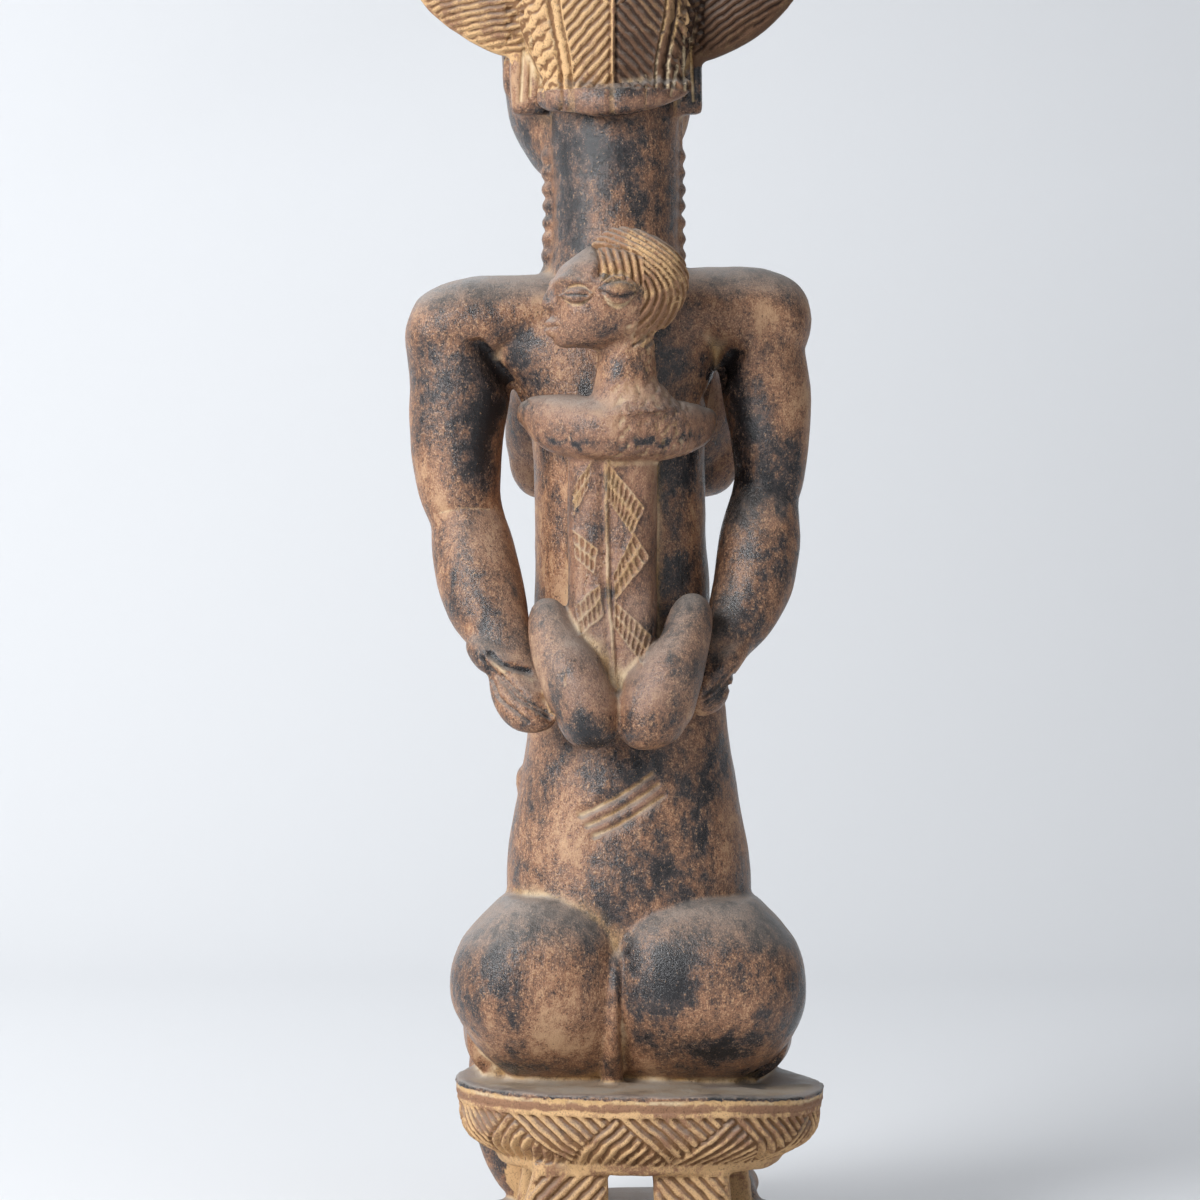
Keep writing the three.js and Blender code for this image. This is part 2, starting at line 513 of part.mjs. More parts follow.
// Spine line down the child's back, and bands of carving that zigzag on both sides of it
const SPINE = [[23.8, 517], [17, 372]];
const ZIGZAG = [
  [[20, 507], [2, 483]], [[2, 466], [18, 441]], [[18, 423], [-2, 400]],
  [[34, 509], [44, 493]], [[43, 468], [30, 456]], [[27, 433], [41, 420]],
];
carved.push(...backStrokes(childBody, ...SPINE, { square: CHILD_SQUARE, pieces: 2 }));
for (const [from, to] of ZIGZAG) {
  carved.push(...backStrokes(childBody, from, to, { square: CHILD_SQUARE, width: 6 }));
}

// Scars on the mother's lower back: three slanting cuts side by side
const SCAR = { x: 12, z: 299, half: 27, pitch: 6.9, slope: THREE.MathUtils.degToRad(30) };
for (const row of [-1, 0, 1]) {
  const x = SCAR.x + row * SCAR.pitch * Math.sin(SCAR.slope);
  const z = SCAR.z + row * SCAR.pitch * Math.cos(SCAR.slope);
  const [run, rise] = [SCAR.half * Math.cos(SCAR.slope), SCAR.half * Math.sin(SCAR.slope)];
  carved.push(...backStrokes(torso, [x + run, z - rise], [x - run, z + rise], { square: 2.2, width: 4 }));
}

const whole = wasm.Manifold.union(added).subtract(wasm.Manifold.union(carved));

// The triangles of a manifold solid as a three.js geometry
function geometryOf(manifold) {
  const mesh = manifold.getMesh();
  const geometry = new THREE.BufferGeometry();
  geometry.setAttribute('position', new THREE.BufferAttribute(mesh.vertProperties, 3));
  geometry.setIndex(new THREE.BufferAttribute(mesh.triVerts, 1));
  geometry.computeVertexNormals();
  return geometry;
}

const carving = new THREE.Mesh(geometryOf(whole), new THREE.MeshStandardMaterial(WOOD));
carving.name = 'mother_and_child';

const figure = new THREE.Group();
figure.add(carving);

export default figure;
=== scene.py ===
"""A seated mother with a child on her back, carved with her stool from one log of wood.

Sizes are millimetres until a mesh is made. +Z is up, the mother faces -Y, +X is her left side.
"""

import math
import bpy
import numpy as np
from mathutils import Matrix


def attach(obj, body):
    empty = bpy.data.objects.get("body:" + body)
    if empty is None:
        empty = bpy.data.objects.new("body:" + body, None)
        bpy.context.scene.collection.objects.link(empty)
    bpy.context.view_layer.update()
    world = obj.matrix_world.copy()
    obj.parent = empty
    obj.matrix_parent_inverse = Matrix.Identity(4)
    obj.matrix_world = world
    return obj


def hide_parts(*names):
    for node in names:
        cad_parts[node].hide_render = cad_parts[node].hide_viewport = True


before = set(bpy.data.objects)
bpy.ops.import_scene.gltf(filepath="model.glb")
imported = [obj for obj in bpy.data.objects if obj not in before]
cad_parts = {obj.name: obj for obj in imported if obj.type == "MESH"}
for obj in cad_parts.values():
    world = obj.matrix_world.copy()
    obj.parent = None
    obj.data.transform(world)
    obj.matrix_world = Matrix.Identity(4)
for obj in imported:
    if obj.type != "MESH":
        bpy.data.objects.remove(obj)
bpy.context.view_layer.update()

MM = 0.001

# Camera: two and a half metres behind her, level with her waist, a little to
# her left, looking down by a degree.
CAMERA_PLACE = (27.3, 2500.0, 488.0)
CAMERA_DOWN = 1.33  # degrees
lens = bpy.data.cameras.new("view_from_behind")
lens.sensor_width = 36.0
lens.lens = 115.4
camera = bpy.data.objects.new("view_from_behind", lens)
camera.location = [value * MM for value in CAMERA_PLACE]
camera.rotation_euler = (math.radians(90.0 - CAMERA_DOWN), 0.0, math.radians(180.0))
bpy.context.scene.collection.objects.link(camera)
bpy.context.scene.camera = camera

# The mother's body: the log itself, long and straight from a broad hip to
# sloping shoulders, with full buttocks set down on the seat. Each form is a
# closed skin, and one surface is grown over all of them further down.
skins = []  # closed skins: points and quads
cuts = []  # knife work: each function gives depths in mm and shares of colours at places with normals
fine_places = []  # boxes where the carving needs finer triangles


def along(rows, t):
    """A smooth curve through the rows (uniform Catmull-Rom): for each t from 0 to 1, one row."""
    rows = np.asarray(rows, float)
    place = np.clip(t, 0.0, 1.0 - 1e-9) * (len(rows) - 1)
    i = place.astype(int)
    f = (place - i)[:, None]
    a, b, c, d = (rows[np.clip(i + k, 0, len(rows) - 1)] for k in (-1, 0, 1, 2))
    return 0.5 * (2 * b + (c - a) * f + (2 * a - 5 * b + 4 * c - d) * f**2
                  + (3 * b - a - 3 * c + d) * f**3)


def grid_skin(grid):
    """Points and quads of a grid (rings, columns, 3), joined round its columns."""
    index = np.arange(grid.shape[0] * grid.shape[1]).reshape(grid.shape[:2])
    near, far = index[:-1], index[1:]
    quads = np.stack([near, np.roll(near, -1, 1), np.roll(far, -1, 1), far], axis=-1)
    return grid.reshape(-1, 3), quads.reshape(-1, 4)


def squared(wave, square):
    """A cosine or sine made blockier: its sign times its size to the power 2 / square."""
    return np.sign(wave) * np.abs(wave) ** (2.0 / square)


def limb(rows, side=(1, 0, 0), square=2.0, start=0.2, end=0.2, rings=72, columns=72, level=False):
    """A body or limb round a middle line through rows of x, y, z, half width, half depth.

    A section is side * width * cos(a) + normal * depth * sin(a), both squared. It lies square to the
    middle line, or flat if level. Each end is rounded: at a share t from the tip it has
    sqrt(1 - (1 - t / end)^2) of its size.
    """
    t = np.concatenate([[0.0], 0.5 - 0.5 * np.cos(np.linspace(0.0, np.pi, rings)), [1.0]])
    middle = along(rows, t)
    ahead = along(rows, np.minimum(t + 0.01, 1.0)) - along(rows, np.maximum(t - 0.01, 0.0))
    ahead = ahead[:, :3] * ((0, 0, 1) if level else (1, 1, 1))
    tangent = ahead / np.linalg.norm(ahead, axis=1, keepdims=True)
    across = np.asarray(side, float) - tangent * (tangent @ np.asarray(side, float))[:, None]
    across /= np.linalg.norm(across, axis=1, keepdims=True)
    deep = np.cross(across, tangent)
    full = np.ones_like(t)
    near = np.minimum(t / start if start else full, (1 - t) / end if end else full)
    opened = np.sqrt(np.maximum(0.0, 1 - (1 - np.minimum(near, 1.0)) ** 2))
    opened[[0, -1]] = 0.0
    a = np.linspace(0.0, 2 * np.pi, columns, endpoint=False)
    wide = (middle[:, 3] * opened)[:, None] * squared(np.cos(a), square)
    high = (middle[:, 4] * opened)[:, None] * squared(np.sin(a), square)
    skins.append(grid_skin(middle[:, None, :3] + wide[..., None] * across[:, None]
                           + high[..., None] * deep[:, None]))


def turned(axis, degrees):
    """The matrix that turns a point by degrees about axis 0, 1 or 2."""
    c, s = math.cos(math.radians(degrees)), math.sin(math.radians(degrees))
    matrix = np.eye(3)
    i, j = [(1, 2), (2, 0), (0, 1)][axis]
    matrix[i, i], matrix[i, j], matrix[j, i], matrix[j, j] = c, -s, s, c
    return matrix


def egg(centre, radii, turn=(0.0, 0.0, 0.0), square=2.0, rings=40, columns=56):
    """An ellipsoid of the given radii, turned by degrees about X, then Y, then Z."""
    u = np.linspace(0.0, np.pi, rings)[:, None]
    v = np.linspace(0.0, 2 * np.pi, columns, endpoint=False)[None]
    ball = np.stack([squared(np.sin(u), square) * squared(np.cos(v), square),
                     squared(np.sin(u), square) * squared(np.sin(v), square),
                     squared(np.cos(u), square) + 0 * v], axis=-1) * np.asarray(radii, float)
    for axis, degrees in enumerate(turn):
        ball = ball @ turned(axis, degrees).T
    skins.append(grid_skin(ball + np.asarray(centre, float)))


limb([[8, -12, 112, 60, 28], [8, -8, 150, 66, 50], [7, -6, 190, 74, 62], [8, -9, 235, 79, 69],
      [9, -11, 270, 78, 68], [9, -10, 304, 71.5, 64], [9, -8, 342, 66, 57], [11, -6, 385, 61, 52],
      [13, -4, 430, 57, 49], [15, -4, 530, 56, 47], [18, -5, 575, 66, 46], [22, -5, 602, 82, 43],
      [22, -6, 626, 84, 34], [22, -6, 641, 50, 18]],
     square=2.2, start=0, end=0, rings=120, columns=120)
limb([[154, -4, 600, 13, 16], [141, -4, 601, 24, 30], [114, -4, 609, 30, 37], [78, -6, 614, 27, 38],
      [20, -6, 617, 26, 38], [-38, -6, 619, 27, 38], [-72, -4, 616, 30, 37], [-96, -4, 608, 26, 30],
      [-110, -4, 605, 14, 16]], side=(0, 0, 1), start=0.08, end=0.08)
limb([[48, 16, 116, 31, 5], [50.5, 16, 121, 34.5, 13], [55, 16, 130, 40, 30], [59, 16, 140, 45, 43],
      [63, 16, 152, 50.5, 54], [66.5, 16, 170, 56, 65], [66.5, 16, 190, 57, 66], [64, 16, 208, 54, 63],
      [62, 16, 220, 47, 58], [62.5, 16, 230, 37, 51], [66, 16, 237, 26, 42], [70, 16, 240, 16, 34]],
     square=2.7, start=0, end=0.03, rings=110, columns=96, level=True)
limb([[-20, 16, 116, 37, 5], [-23.5, 16, 121, 41.5, 13], [-30.5, 16, 130, 49.5, 30],
      [-35, 16, 140, 55, 43], [-38, 16, 152, 60, 54], [-39.5, 16, 170, 65.5, 65],
      [-39.5, 16, 190, 65.5, 66], [-38, 16, 208, 62.5, 63], [-36, 16, 220, 56, 58],
      [-36, 16, 230, 46, 51], [-41, 16, 237, 34, 42], [-47, 16, 240, 22, 34]],
     square=2.7, start=0, end=0.03, rings=110, columns=96, level=True)
limb([[17, 60, 206, 2.5, 4], [18, 66, 180, 3, 5], [19, 56, 150, 4.5, 7], [19.5, 34, 124, 7, 8]],
     square=3, start=0.1, end=0)  # a strip of wood left standing between the buttocks
egg((10, -76, 296), (9, 10, 9))  # navel
egg((78.5, -12, 312), (4, 9, 9))  # a small pad left on her flank
limb([[50, -28, 590, 20, 20], [56, -56, 560, 31, 30], [60, -80, 530, 30, 30], [62, -100, 508, 17, 17]],
     start=0.2, end=0.35)
limb([[-18, -28, 590, 20, 20], [-27, -56, 560, 32, 30], [-32, -80, 530, 31, 30],
      [-35, -100, 508, 17, 17]], start=0.2, end=0.35)
egg((57, -80, 532), (31.5, 27, 37), square=2.7)  # the breasts hang full and low
egg((-34, -80, 532), (33, 27, 35), square=2.7)


def ramp(value, low, high):
    """0 below low, 1 above high, and a smooth step between them."""
    share = np.clip((value - low) / (high - low), 0.0, 1.0)
    return share * share * (3 - 2 * share)


def furrows(place, pitch, sharp=1.0):
    """Parallel cuts a pitch apart: 1 at the bottom of a cut, 0 on the ridge between two."""
    return (0.5 + 0.5 * np.cos(2 * np.pi * place / pitch)) ** sharp


def hump(distance, half):
    """1 where the distance is 0, and 1 - (distance / half)^2 down to 0 on both sides."""
    return np.clip(1 - (distance / half) ** 2, 0.0, 1.0)


def tent(distance, half):
    """1 where the distance is 0, and a straight fall to 0 at half on both sides."""
    return np.clip(1 - np.abs(distance) / half, 0.0, 1.0)


def wander(places, size, seed):
    """Smooth, repeatable waves from about -1 to 1: eight sines of about the given length."""
    draw = np.random.default_rng(seed)
    ways = draw.normal(size=(8, 3))
    ways /= np.linalg.norm(ways, axis=1, keepdims=True)
    waves = ways / (size * draw.uniform(0.7, 1.4, (8, 1))) * 2 * np.pi
    return np.sin(places @ waves.T + draw.uniform(0, 2 * np.pi, 8)).sum(axis=1) / 4.0


SCAR_CENTRE = (12.0, 299.0)
SCAR_SLOPE = 30.0  # degrees, rising to her right
SCAR_PITCH, SCAR_DEPTH, SCAR_HALF = 7.8, 2.6, 29.0
fine_places.append(((-30, 40, 276), (50, 90, 324)))


def cut_scars(places, normal):
    """Three long cuts side by side across the small of her back, with a bar between each two."""
    x, y, z = places.T
    c, s = math.cos(math.radians(SCAR_SLOPE)), math.sin(math.radians(SCAR_SLOPE))
    run = -(x - SCAR_CENTRE[0]) * c + (z - SCAR_CENTRE[1]) * s
    rise = (x - SCAR_CENTRE[0]) * s + (z - SCAR_CENTRE[1]) * c - 0.0022 * run**2
    here = (normal[:, 1] > 0.3) & (y > 30)
    ends = ramp(SCAR_HALF + 0.1 * rise - np.abs(run), 0, 3)
    in_row = ramp(SCAR_PITCH * 1.36 - np.abs(rise), 0, 0.6)
    cut = furrows(rise + 0.3 * wander(places, 8, 21), SCAR_PITCH, 1.6) * ends * in_row * here
    bar = ends * here * in_row
    return {"depth": SCAR_DEPTH * cut, "clay": 0.6 * cut, "tone": 0.45 * bar, "plum": 0.8 * bar}


cuts.append(cut_scars)

# Arms: cut free of the body, with a cap at the shoulder and a nick at the
# elbow, bent back so that flat hands close under the child's thighs.
left_arm = [
    [122, -4, 614, 27, 28], [121, -4, 598, 32, 33], [118, -3, 572, 33, 32], [119.5, -2, 550, 31.5, 30],
    [120.5, -1, 530, 30, 28], [119, 1, 509, 28, 26], [117, 3, 496, 25.8, 24], [113.4, 5, 483, 23.7, 22.5],
    [110.5, 8, 469, 26, 25], [108, 12, 455, 27.5, 26.5], [104, 18, 440, 27.5, 26], [97, 29, 421, 25, 22],
    [88, 40, 403, 19, 17], [82, 50, 388, 17.5, 14], [78, 58, 374, 19, 13], [70, 66, 361, 18, 12],
    [56, 72, 354, 13, 9],
]
right_arm = [
    [-77, -4, 616, 26, 28], [-76.5, -4, 594, 28.5, 33], [-79.7, -3, 574, 29, 31], [-82.2, -2, 552, 28, 29],
    [-83.2, -1, 530, 25.3, 28], [-83, 1, 512, 22.5, 25], [-80.2, 3, 498, 21.5, 22.5],
    [-78.2, 6, 484, 24.5, 24], [-76.2, 9, 470, 26.6, 26], [-72, 16, 443, 26, 26], [-64, 27, 421, 22.5, 21],
    [-55, 36, 405, 16.5, 17], [-47.5, 42, 392, 14.5, 16], [-43, 46, 380, 14, 15], [-39, 48, 368, 13.5, 13],
    [-33, 48, 358, 9, 9],
]
for arm in (left_arm, right_arm):
    limb(arm, start=0, end=0.1, rings=140)
limb([[109, 38, 408, 7, 10], [95, 50, 394, 10, 13], [78, 62, 384, 6, 9]], square=2.4,
     side=(0, 0, 1), start=0.3, end=0.3)  # the cuff of her left wrist
limb([[-63, 38, 406, 10, 10], [-54, 52, 391, 8, 10], [-46, 60, 383, 4, 6]], start=0.2, end=0.3)
fine_places += [((45, 30, 338), (115, 95, 405)), ((-85, 20, 345), (-35, 85, 410))]


def cut_line(across, up, path, width):
    """One cut along a path in the plane of across and up: 1 on the path, 0 at its edge."""
    best = np.full(len(across), np.inf)
    for (x0, z0), (x1, z1) in zip(path, path[1:]):
        dx, dz = x1 - x0, z1 - z0
        share = np.clip(((across - x0) * dx + (up - z0) * dz) / (dx * dx + dz * dz), 0.0, 1.0)
        best = np.minimum(best, np.hypot(across - x0 - share * dx, up - z0 - share * dz))
    return hump(best, width) ** 1.5


def within(places, low, high):
    """True for the places inside a box."""
    return np.all((places > np.asarray(low)) & (places < np.asarray(high)), axis=1)


# each hand: the box that it lies in, and its grooves between fingers, as x and z
HANDS = (
    ((50, 30, 338), (112, 95, 400), (
        [(102, 395), (91.5, 370), (72, 355)], [(97, 389), (80, 370), (59, 357)],
        [(90, 384), (72, 368), (57, 359)])),
    ((-72, 20, 350), (-32, 85, 392), (
        [(-58, 389), (-45, 375), (-38, 370)], [(-58, 383), (-47, 370), (-39, 366)],
        [(-56, 376), (-48, 368), (-42, 364)])),
)
FINGER_DEPTH, NOTCH_DEPTH, ARMPIT_DEPTH = 1.9, 2.4, 4.5


def cut_fingers(places, normal):
    """Grooves between the fingers of both hands, and a notch under the cuff of her left wrist."""
    x, _, z = places.T
    depth = np.zeros(len(places))
    for low, high, paths in HANDS:
        for path in paths:
            depth = np.maximum(depth, within(places, low, high) * FINGER_DEPTH * cut_line(x, z, path, 1.7))
    wrist = within(places, (66, 30, 372), (105, 95, 402))
    notch = wrist * cut_line(x, z, [(97, 397), (88, 390), (72, 386)], 3.0)
    under = wrist * cut_line(x, z, [(96, 392), (86, 384.5), (70, 381)], 2.2)
    palm = within(places, (50, 30, 338), (112, 95, 392))
    # painted shade: tone darkens the notch under the cuff and the deeper grooves between the fingers
    return {"depth": np.maximum(depth, NOTCH_DEPTH * notch),
            "clay": np.maximum(0.15 * (depth > 0.5), 0.6 * under),
            "tone": 0.15 * palm - 1.2 * notch - 0.4 * (depth > 0.7)}


def cut_armpits(places, normal):
    """A hollow under each shoulder blade, where the arm leaves the back, and a nick at her left elbow."""
    x, y, z = places.T
    behind = (normal[:, 1] > -0.3) & (y > 2)
    depth, dark = (np.zeros(len(places)) for _ in range(2))
    for way, top, foot in ((1, (101.7, 598), (76, 563)), (-1, (-55, 592), (-38, 560))):
        run, fall = (foot[0] - top[0]) * way, foot[1] - top[1]
        past = ((x - top[0]) * way * fall - (z - top[1]) * run) / math.hypot(run, fall)
        inside = behind * ramp(-past, -0.4, 1.6) * ramp(15 + past, 0, 12) * ramp(z, 548, 572) \
            * ramp(top[1] + 2 - z, 0, 5)
        depth += ARMPIT_DEPTH * inside
        # painted shade: the hollow is also darkened through tone, for the shade that falls in it
        dark += inside
    nick = behind * cut_line(x, z, [(131, 486.5), (116, 489.5), (98, 489)], 1.3)
    return {"depth": depth + 0.9 * nick, "tone": -0.9 * dark, "clay": 0.45 * nick}


cuts += [cut_fingers, cut_armpits]

# Legs: thighs forward on the seat, shins down its sides and slab feet on the
# foot plate.
limb([[68, 8, 152, 47, 36], [76, -34, 150, 42, 36], [82, -84, 141, 35, 33], [84, -118, 130, 31, 30]],
     square=2.6, start=0, end=0.4)
limb([[-46, 8, 152, 51, 36], [-57, -34, 150, 43, 36], [-64, -84, 141, 35, 33],
      [-66, -118, 130, 31, 30]], square=2.6, start=0, end=0.4)
limb([[85, -98, 146, 25, 23], [87, -100, 112, 29, 26], [87, -98, 84, 27, 26], [84, -94, 62, 25, 23],
      [80, -91, 46, 21, 20], [72, -89, 31, 18, 19], [68, -88, 20, 19, 21]], start=0, end=0)
limb([[-65, -98, 146, 24, 22], [-65, -102, 112, 27, 25], [-58, -100, 82, 25, 24],
      [-54, -94, 58, 20, 20], [-55, -90, 40, 20, 20], [-58, -88, 20, 23, 23]], start=0, end=0)
FEET = (68, -56)
TOE_GROOVES, TOE_DEPTH = (-12, -5, 2, 9), 1.9
for foot_x in FEET:
    limb([[foot_x, -70, 31, 19, 16], [foot_x, -88, 34, 21, 19], [foot_x - 1, -108, 31, 24, 15],
          [foot_x - 2, -134, 27, 23, 11]], start=0.2, end=0.12)


def cut_toes(places, normal):
    """Four grooves from the front edge of each foot."""
    x, y, _ = places.T
    depth = np.zeros(len(places))
    for foot_x in FEET:
        here = within(places, (foot_x - 26, -140, 22), (foot_x + 26, -108, 52))
        for toe in TOE_GROOVES:
            depth += here * TOE_DEPTH * cut_line(x, y, [(foot_x + toe, -142), (foot_x + toe, -114)], 1.6)
    return {"depth": depth, "clay": 0.6 * (depth > 0.4)}


cuts.append(cut_toes)

# Stool: a bowl-shaped seat with a lip, a roll and a hatched band, on four
# stout legs and an oval foot plate, all still part of the log.
PLATE_TOP = 24.0
SEAT_UNDER, SEAT_TOP, SEAT_X = 66.0, 120.0, 1.5
BAND_LOW, BAND_HIGH = SEAT_UNDER + 7, SEAT_TOP - 14
TRIANGLES = 10
TRIANGLE_TURN = 22.0  # degrees from straight behind to the foot of the first hanging triangle
HATCHES = 8  # in each triangle
SEAT_OVAL, SEAT_SQUARE, SEAT_TURN = (1.0, 0.78), 2.3, -5.0  # plan: width and depth, corners, degrees
SEAT_WORN = 5.5  # how much lower the seat is at her right
RIM_INNER, RIM_OUTER = 86.0, 123.5  # radii between which the seat's side is carved
BAND_DEPTH, LEG_CUT_DEPTH, LEG_CUT_PITCH = 2.8, 2.2, 6.4
# each leg: place at the seat, half width and half depth there, then place and half width at the foot
legs = (
    (46, 46, 24, 19, 52, 30), (-31, 48, 24, 19, -33, 26),
    (-46, -46, 24, 18, -48, 26), (52, -46, 25, 18, 55, 28),
)
fine_places.append(((-130, -130, 24), (130, 130, 121)))


def turned_skin(profile, centre=(0.0, 0.0), oval=(1.0, 1.0), square=2.0, turn=0.0, columns=240):
    """A closed skin of rows of radius and height, in an oval or squarish plan turned by degrees.

    A ring is the radius times (oval width * cos(a), oval depth * sin(a)), both squared.
    """
    profile = np.asarray(profile, float)
    a = np.linspace(0.0, 2 * np.pi, columns, endpoint=False)
    ring = np.stack([squared(np.cos(a), square) * oval[0], squared(np.sin(a), square) * oval[1]], axis=-1)
    flat = profile[:, :1, None] * (ring @ turned(2, turn)[:2, :2].T)[None] + np.asarray(centre)
    height = np.broadcast_to(profile[:, 1, None, None], flat.shape[:2] + (1,))
    skins.append(grid_skin(np.concatenate([flat, height], axis=-1)))


def level_height(x, z):
    """A height on the seat as it was before its right end was worn lower, by up to SEAT_WORN."""
    worn = SEAT_WORN * ramp(-x, 40, 118)
    return SEAT_UNDER + (z - SEAT_UNDER) * (SEAT_TOP - SEAT_UNDER) / (SEAT_TOP - SEAT_UNDER - worn)


def on_seat(x, y):
    """Radius and angle of a place in the seat's own plan, as if the seat were round."""
    flat = np.stack([x - SEAT_X, y], axis=1) @ turned(2, SEAT_TURN)[:2, :2] / np.asarray(SEAT_OVAL)
    radius = (np.abs(flat) ** SEAT_SQUARE).sum(axis=1) ** (1 / SEAT_SQUARE)
    return radius, np.degrees(np.arctan2(flat[:, 0], flat[:, 1]))


turned_skin([[0, 0], [0.985, 0], [1, 2], [1, PLATE_TOP - 2], [0.985, PLATE_TOP], [0, PLATE_TOP]],
            centre=(6, -8), oval=(116, 126))
turned_skin([
    [0, SEAT_UNDER], [88, SEAT_UNDER], [91.5, SEAT_UNDER + 0.8], [93, SEAT_UNDER + 3],
    [94, SEAT_UNDER + 6], [96.5, SEAT_UNDER + 8], [104, SEAT_UNDER + 12], [111.5, SEAT_UNDER + 17],
    [116, SEAT_UNDER + 24], [117.5, SEAT_UNDER + 32], [117, SEAT_TOP - 15], [118.5, SEAT_TOP - 13.5],
    [118.5, SEAT_TOP - 11.5], [117.3, SEAT_TOP - 10.4], [119, SEAT_TOP - 9], [119.6, SEAT_TOP - 7.3],
    [119, SEAT_TOP - 5.4], [117, SEAT_TOP - 4], [119.6, SEAT_TOP - 2.6], [120.5, SEAT_TOP - 1.2],
    [119.6, SEAT_TOP], [118, SEAT_TOP + 0.3], [0, SEAT_TOP + 0.3],
], centre=(SEAT_X, 0), oval=SEAT_OVAL, square=SEAT_SQUARE, turn=SEAT_TURN)
seat = skins[-1][0]
up_the_seat = (seat[:, 2] - SEAT_UNDER) / (SEAT_TOP - SEAT_UNDER)
seat[:, 2] -= SEAT_WORN * ramp(-seat[:, 0], 40, 118) * up_the_seat
for leg_x, leg_y, leg_wide, leg_deep, foot_x, foot_wide in legs:
    limb([[foot_x, leg_y, PLATE_TOP - 8, foot_wide, leg_deep],
          [foot_x, leg_y, PLATE_TOP, foot_wide, leg_deep],
          [leg_x, leg_y, SEAT_UNDER - 4, leg_wide, leg_deep],
          [leg_x, leg_y, SEAT_UNDER + 8, leg_wide, leg_deep]], square=7, start=0, end=0, rings=24)


def cut_band(places, normal):
    """Triangles round the seat, standing and hanging by turns, all cuts parallel to their left sides."""
    x, y, z = places.T
    z = level_height(x, z)
    radius, angle = on_seat(x, y)
    on_rim = (radius > RIM_INNER) & (radius < RIM_OUTER)
    cell = ((angle - TRIANGLE_TURN) / 360 * TRIANGLES) % 1.0
    up = np.clip((z - BAND_LOW) / (BAND_HIGH - BAND_LOW), 0, 1)
    standing = (cell > 0.5 * up) & (cell < 1 - 0.5 * up)
    hanging = np.where(cell > 0.5, cell - 1, cell) - 0.5 * up
    hatch = np.where(standing, cell + 0.5 * up, hanging)
    border = np.minimum(np.abs(cell - 0.5 * up), np.abs(cell - 1 + 0.5 * up)) * 64
    here = (on_rim & (radius > RIM_INNER + 4)) * (normal[:, 2] < 0.5) \
        * ramp(z, BAND_LOW - 1, BAND_LOW + 1) * ramp(BAND_HIGH - z, -0.5, 1)
    wave = 0.08 * wander(places, 14, 31) + 0.03 * wander(places, 5, 32)
    cut = np.maximum(furrows(hatch * HATCHES + wave, 1.0, 1.2), 0.9 * tent(border, 1.6))
    side = on_rim & (z > SEAT_UNDER - 1) & (z < SEAT_TOP - 2.6)
    chips = side * 0.5 * np.clip(wander(places, 6, 33) + wander(places, 3.5, 34) - 0.6, 0, 2)
    line = side * tent(z - SEAT_TOP + 10.3, 1.2)
    waved = z + 0.9 * wander(places, 24, 37) + 0.4 * wander(places, 7, 38)
    roll = side * ramp(waved, SEAT_TOP - 11, SEAT_TOP - 9.5) * ramp(waved, SEAT_TOP - 4.5, SEAT_TOP - 6)
    edge = on_rim * ramp(z, SEAT_TOP - 3.4, SEAT_TOP - 2.4) * ramp(SEAT_TOP + 2 - z, 0, 1) \
        * (normal[:, 2] < 0.75)
    foot = (radius < 112) & (z > SEAT_TOP - 1) & (z < SEAT_TOP + 5) & (y > 10)
    nibbled = 0.5 * edge * np.clip(wander(places, 5, 36), 0, 1)
    return {"depth": here * BAND_DEPTH * cut + chips + 0.6 * line + nibbled,
            "carved": side * 1.0, "plum": roll, "tone": -0.45 * edge - 0.12 * roll,
            "clay": np.maximum(side * 0.8 * tent(z - SEAT_TOP + 4, 2.2),
                               foot * 0.8 * ramp(z, SEAT_TOP + 5, SEAT_TOP + 1.5))}


def cut_leg_hatching(places, normal):
    """Slanting cuts over the outer face of each stool leg, leaning towards the middle of the stool."""
    x, y, z = places.T
    depth = np.zeros(len(places))
    for leg_x, leg_y, _, leg_deep, foot_x, foot_wide in legs:
        face = (np.abs(x - foot_x) < foot_wide - 1) & (z > PLATE_TOP + 1) & (z < SEAT_UNDER - 1) \
            & ((y - leg_y) * np.sign(leg_y) > leg_deep - 4) & (np.abs(y - leg_y) < leg_deep + 4)
        lean = 1 if leg_x > 0 else -1
        slant = (x * lean + z) * 0.7 + 0.5 * wander(places, 9, 35)
        depth += face * LEG_CUT_DEPTH * furrows(slant, LEG_CUT_PITCH, 1.2)
    near_leg = (z > PLATE_TOP) & (z < SEAT_UNDER) & (np.abs(y) < 76) & (np.abs(x) < 90)
    return {"depth": depth, "carved": near_leg * 1.0}


cuts += [cut_band, cut_leg_hatching]

# Neck and plaits: a straight column of the log, left standing between head and
# shoulders, with a notched plait down each side.
limb([[17, -6, 622, 48, 43], [17, -6, 662, 41, 41], [17, -6, 710, 41, 41], [19, -8, 790, 42, 42]],
     start=0, end=0)
BEADS, BEAD_PITCH = 8, 10.7
for core_x, bead_x in ((55, 57.5), (-18, -20.5)):
    limb([[core_x, -12, 636, 5, 6], [core_x, -12, 690, 5, 6], [core_x, -12, 752, 6, 8]], start=0, end=0)
    limb([[core_x, -12, 718, 8, 9], [core_x, -12, 752, 9, 10]], start=0.3, end=0)
    for bead in range(BEADS):
        egg((bead_x, -12, 643.5 + bead * BEAD_PITCH), (8.5, 9.5, 5.5), square=2.2, rings=24, columns=32)

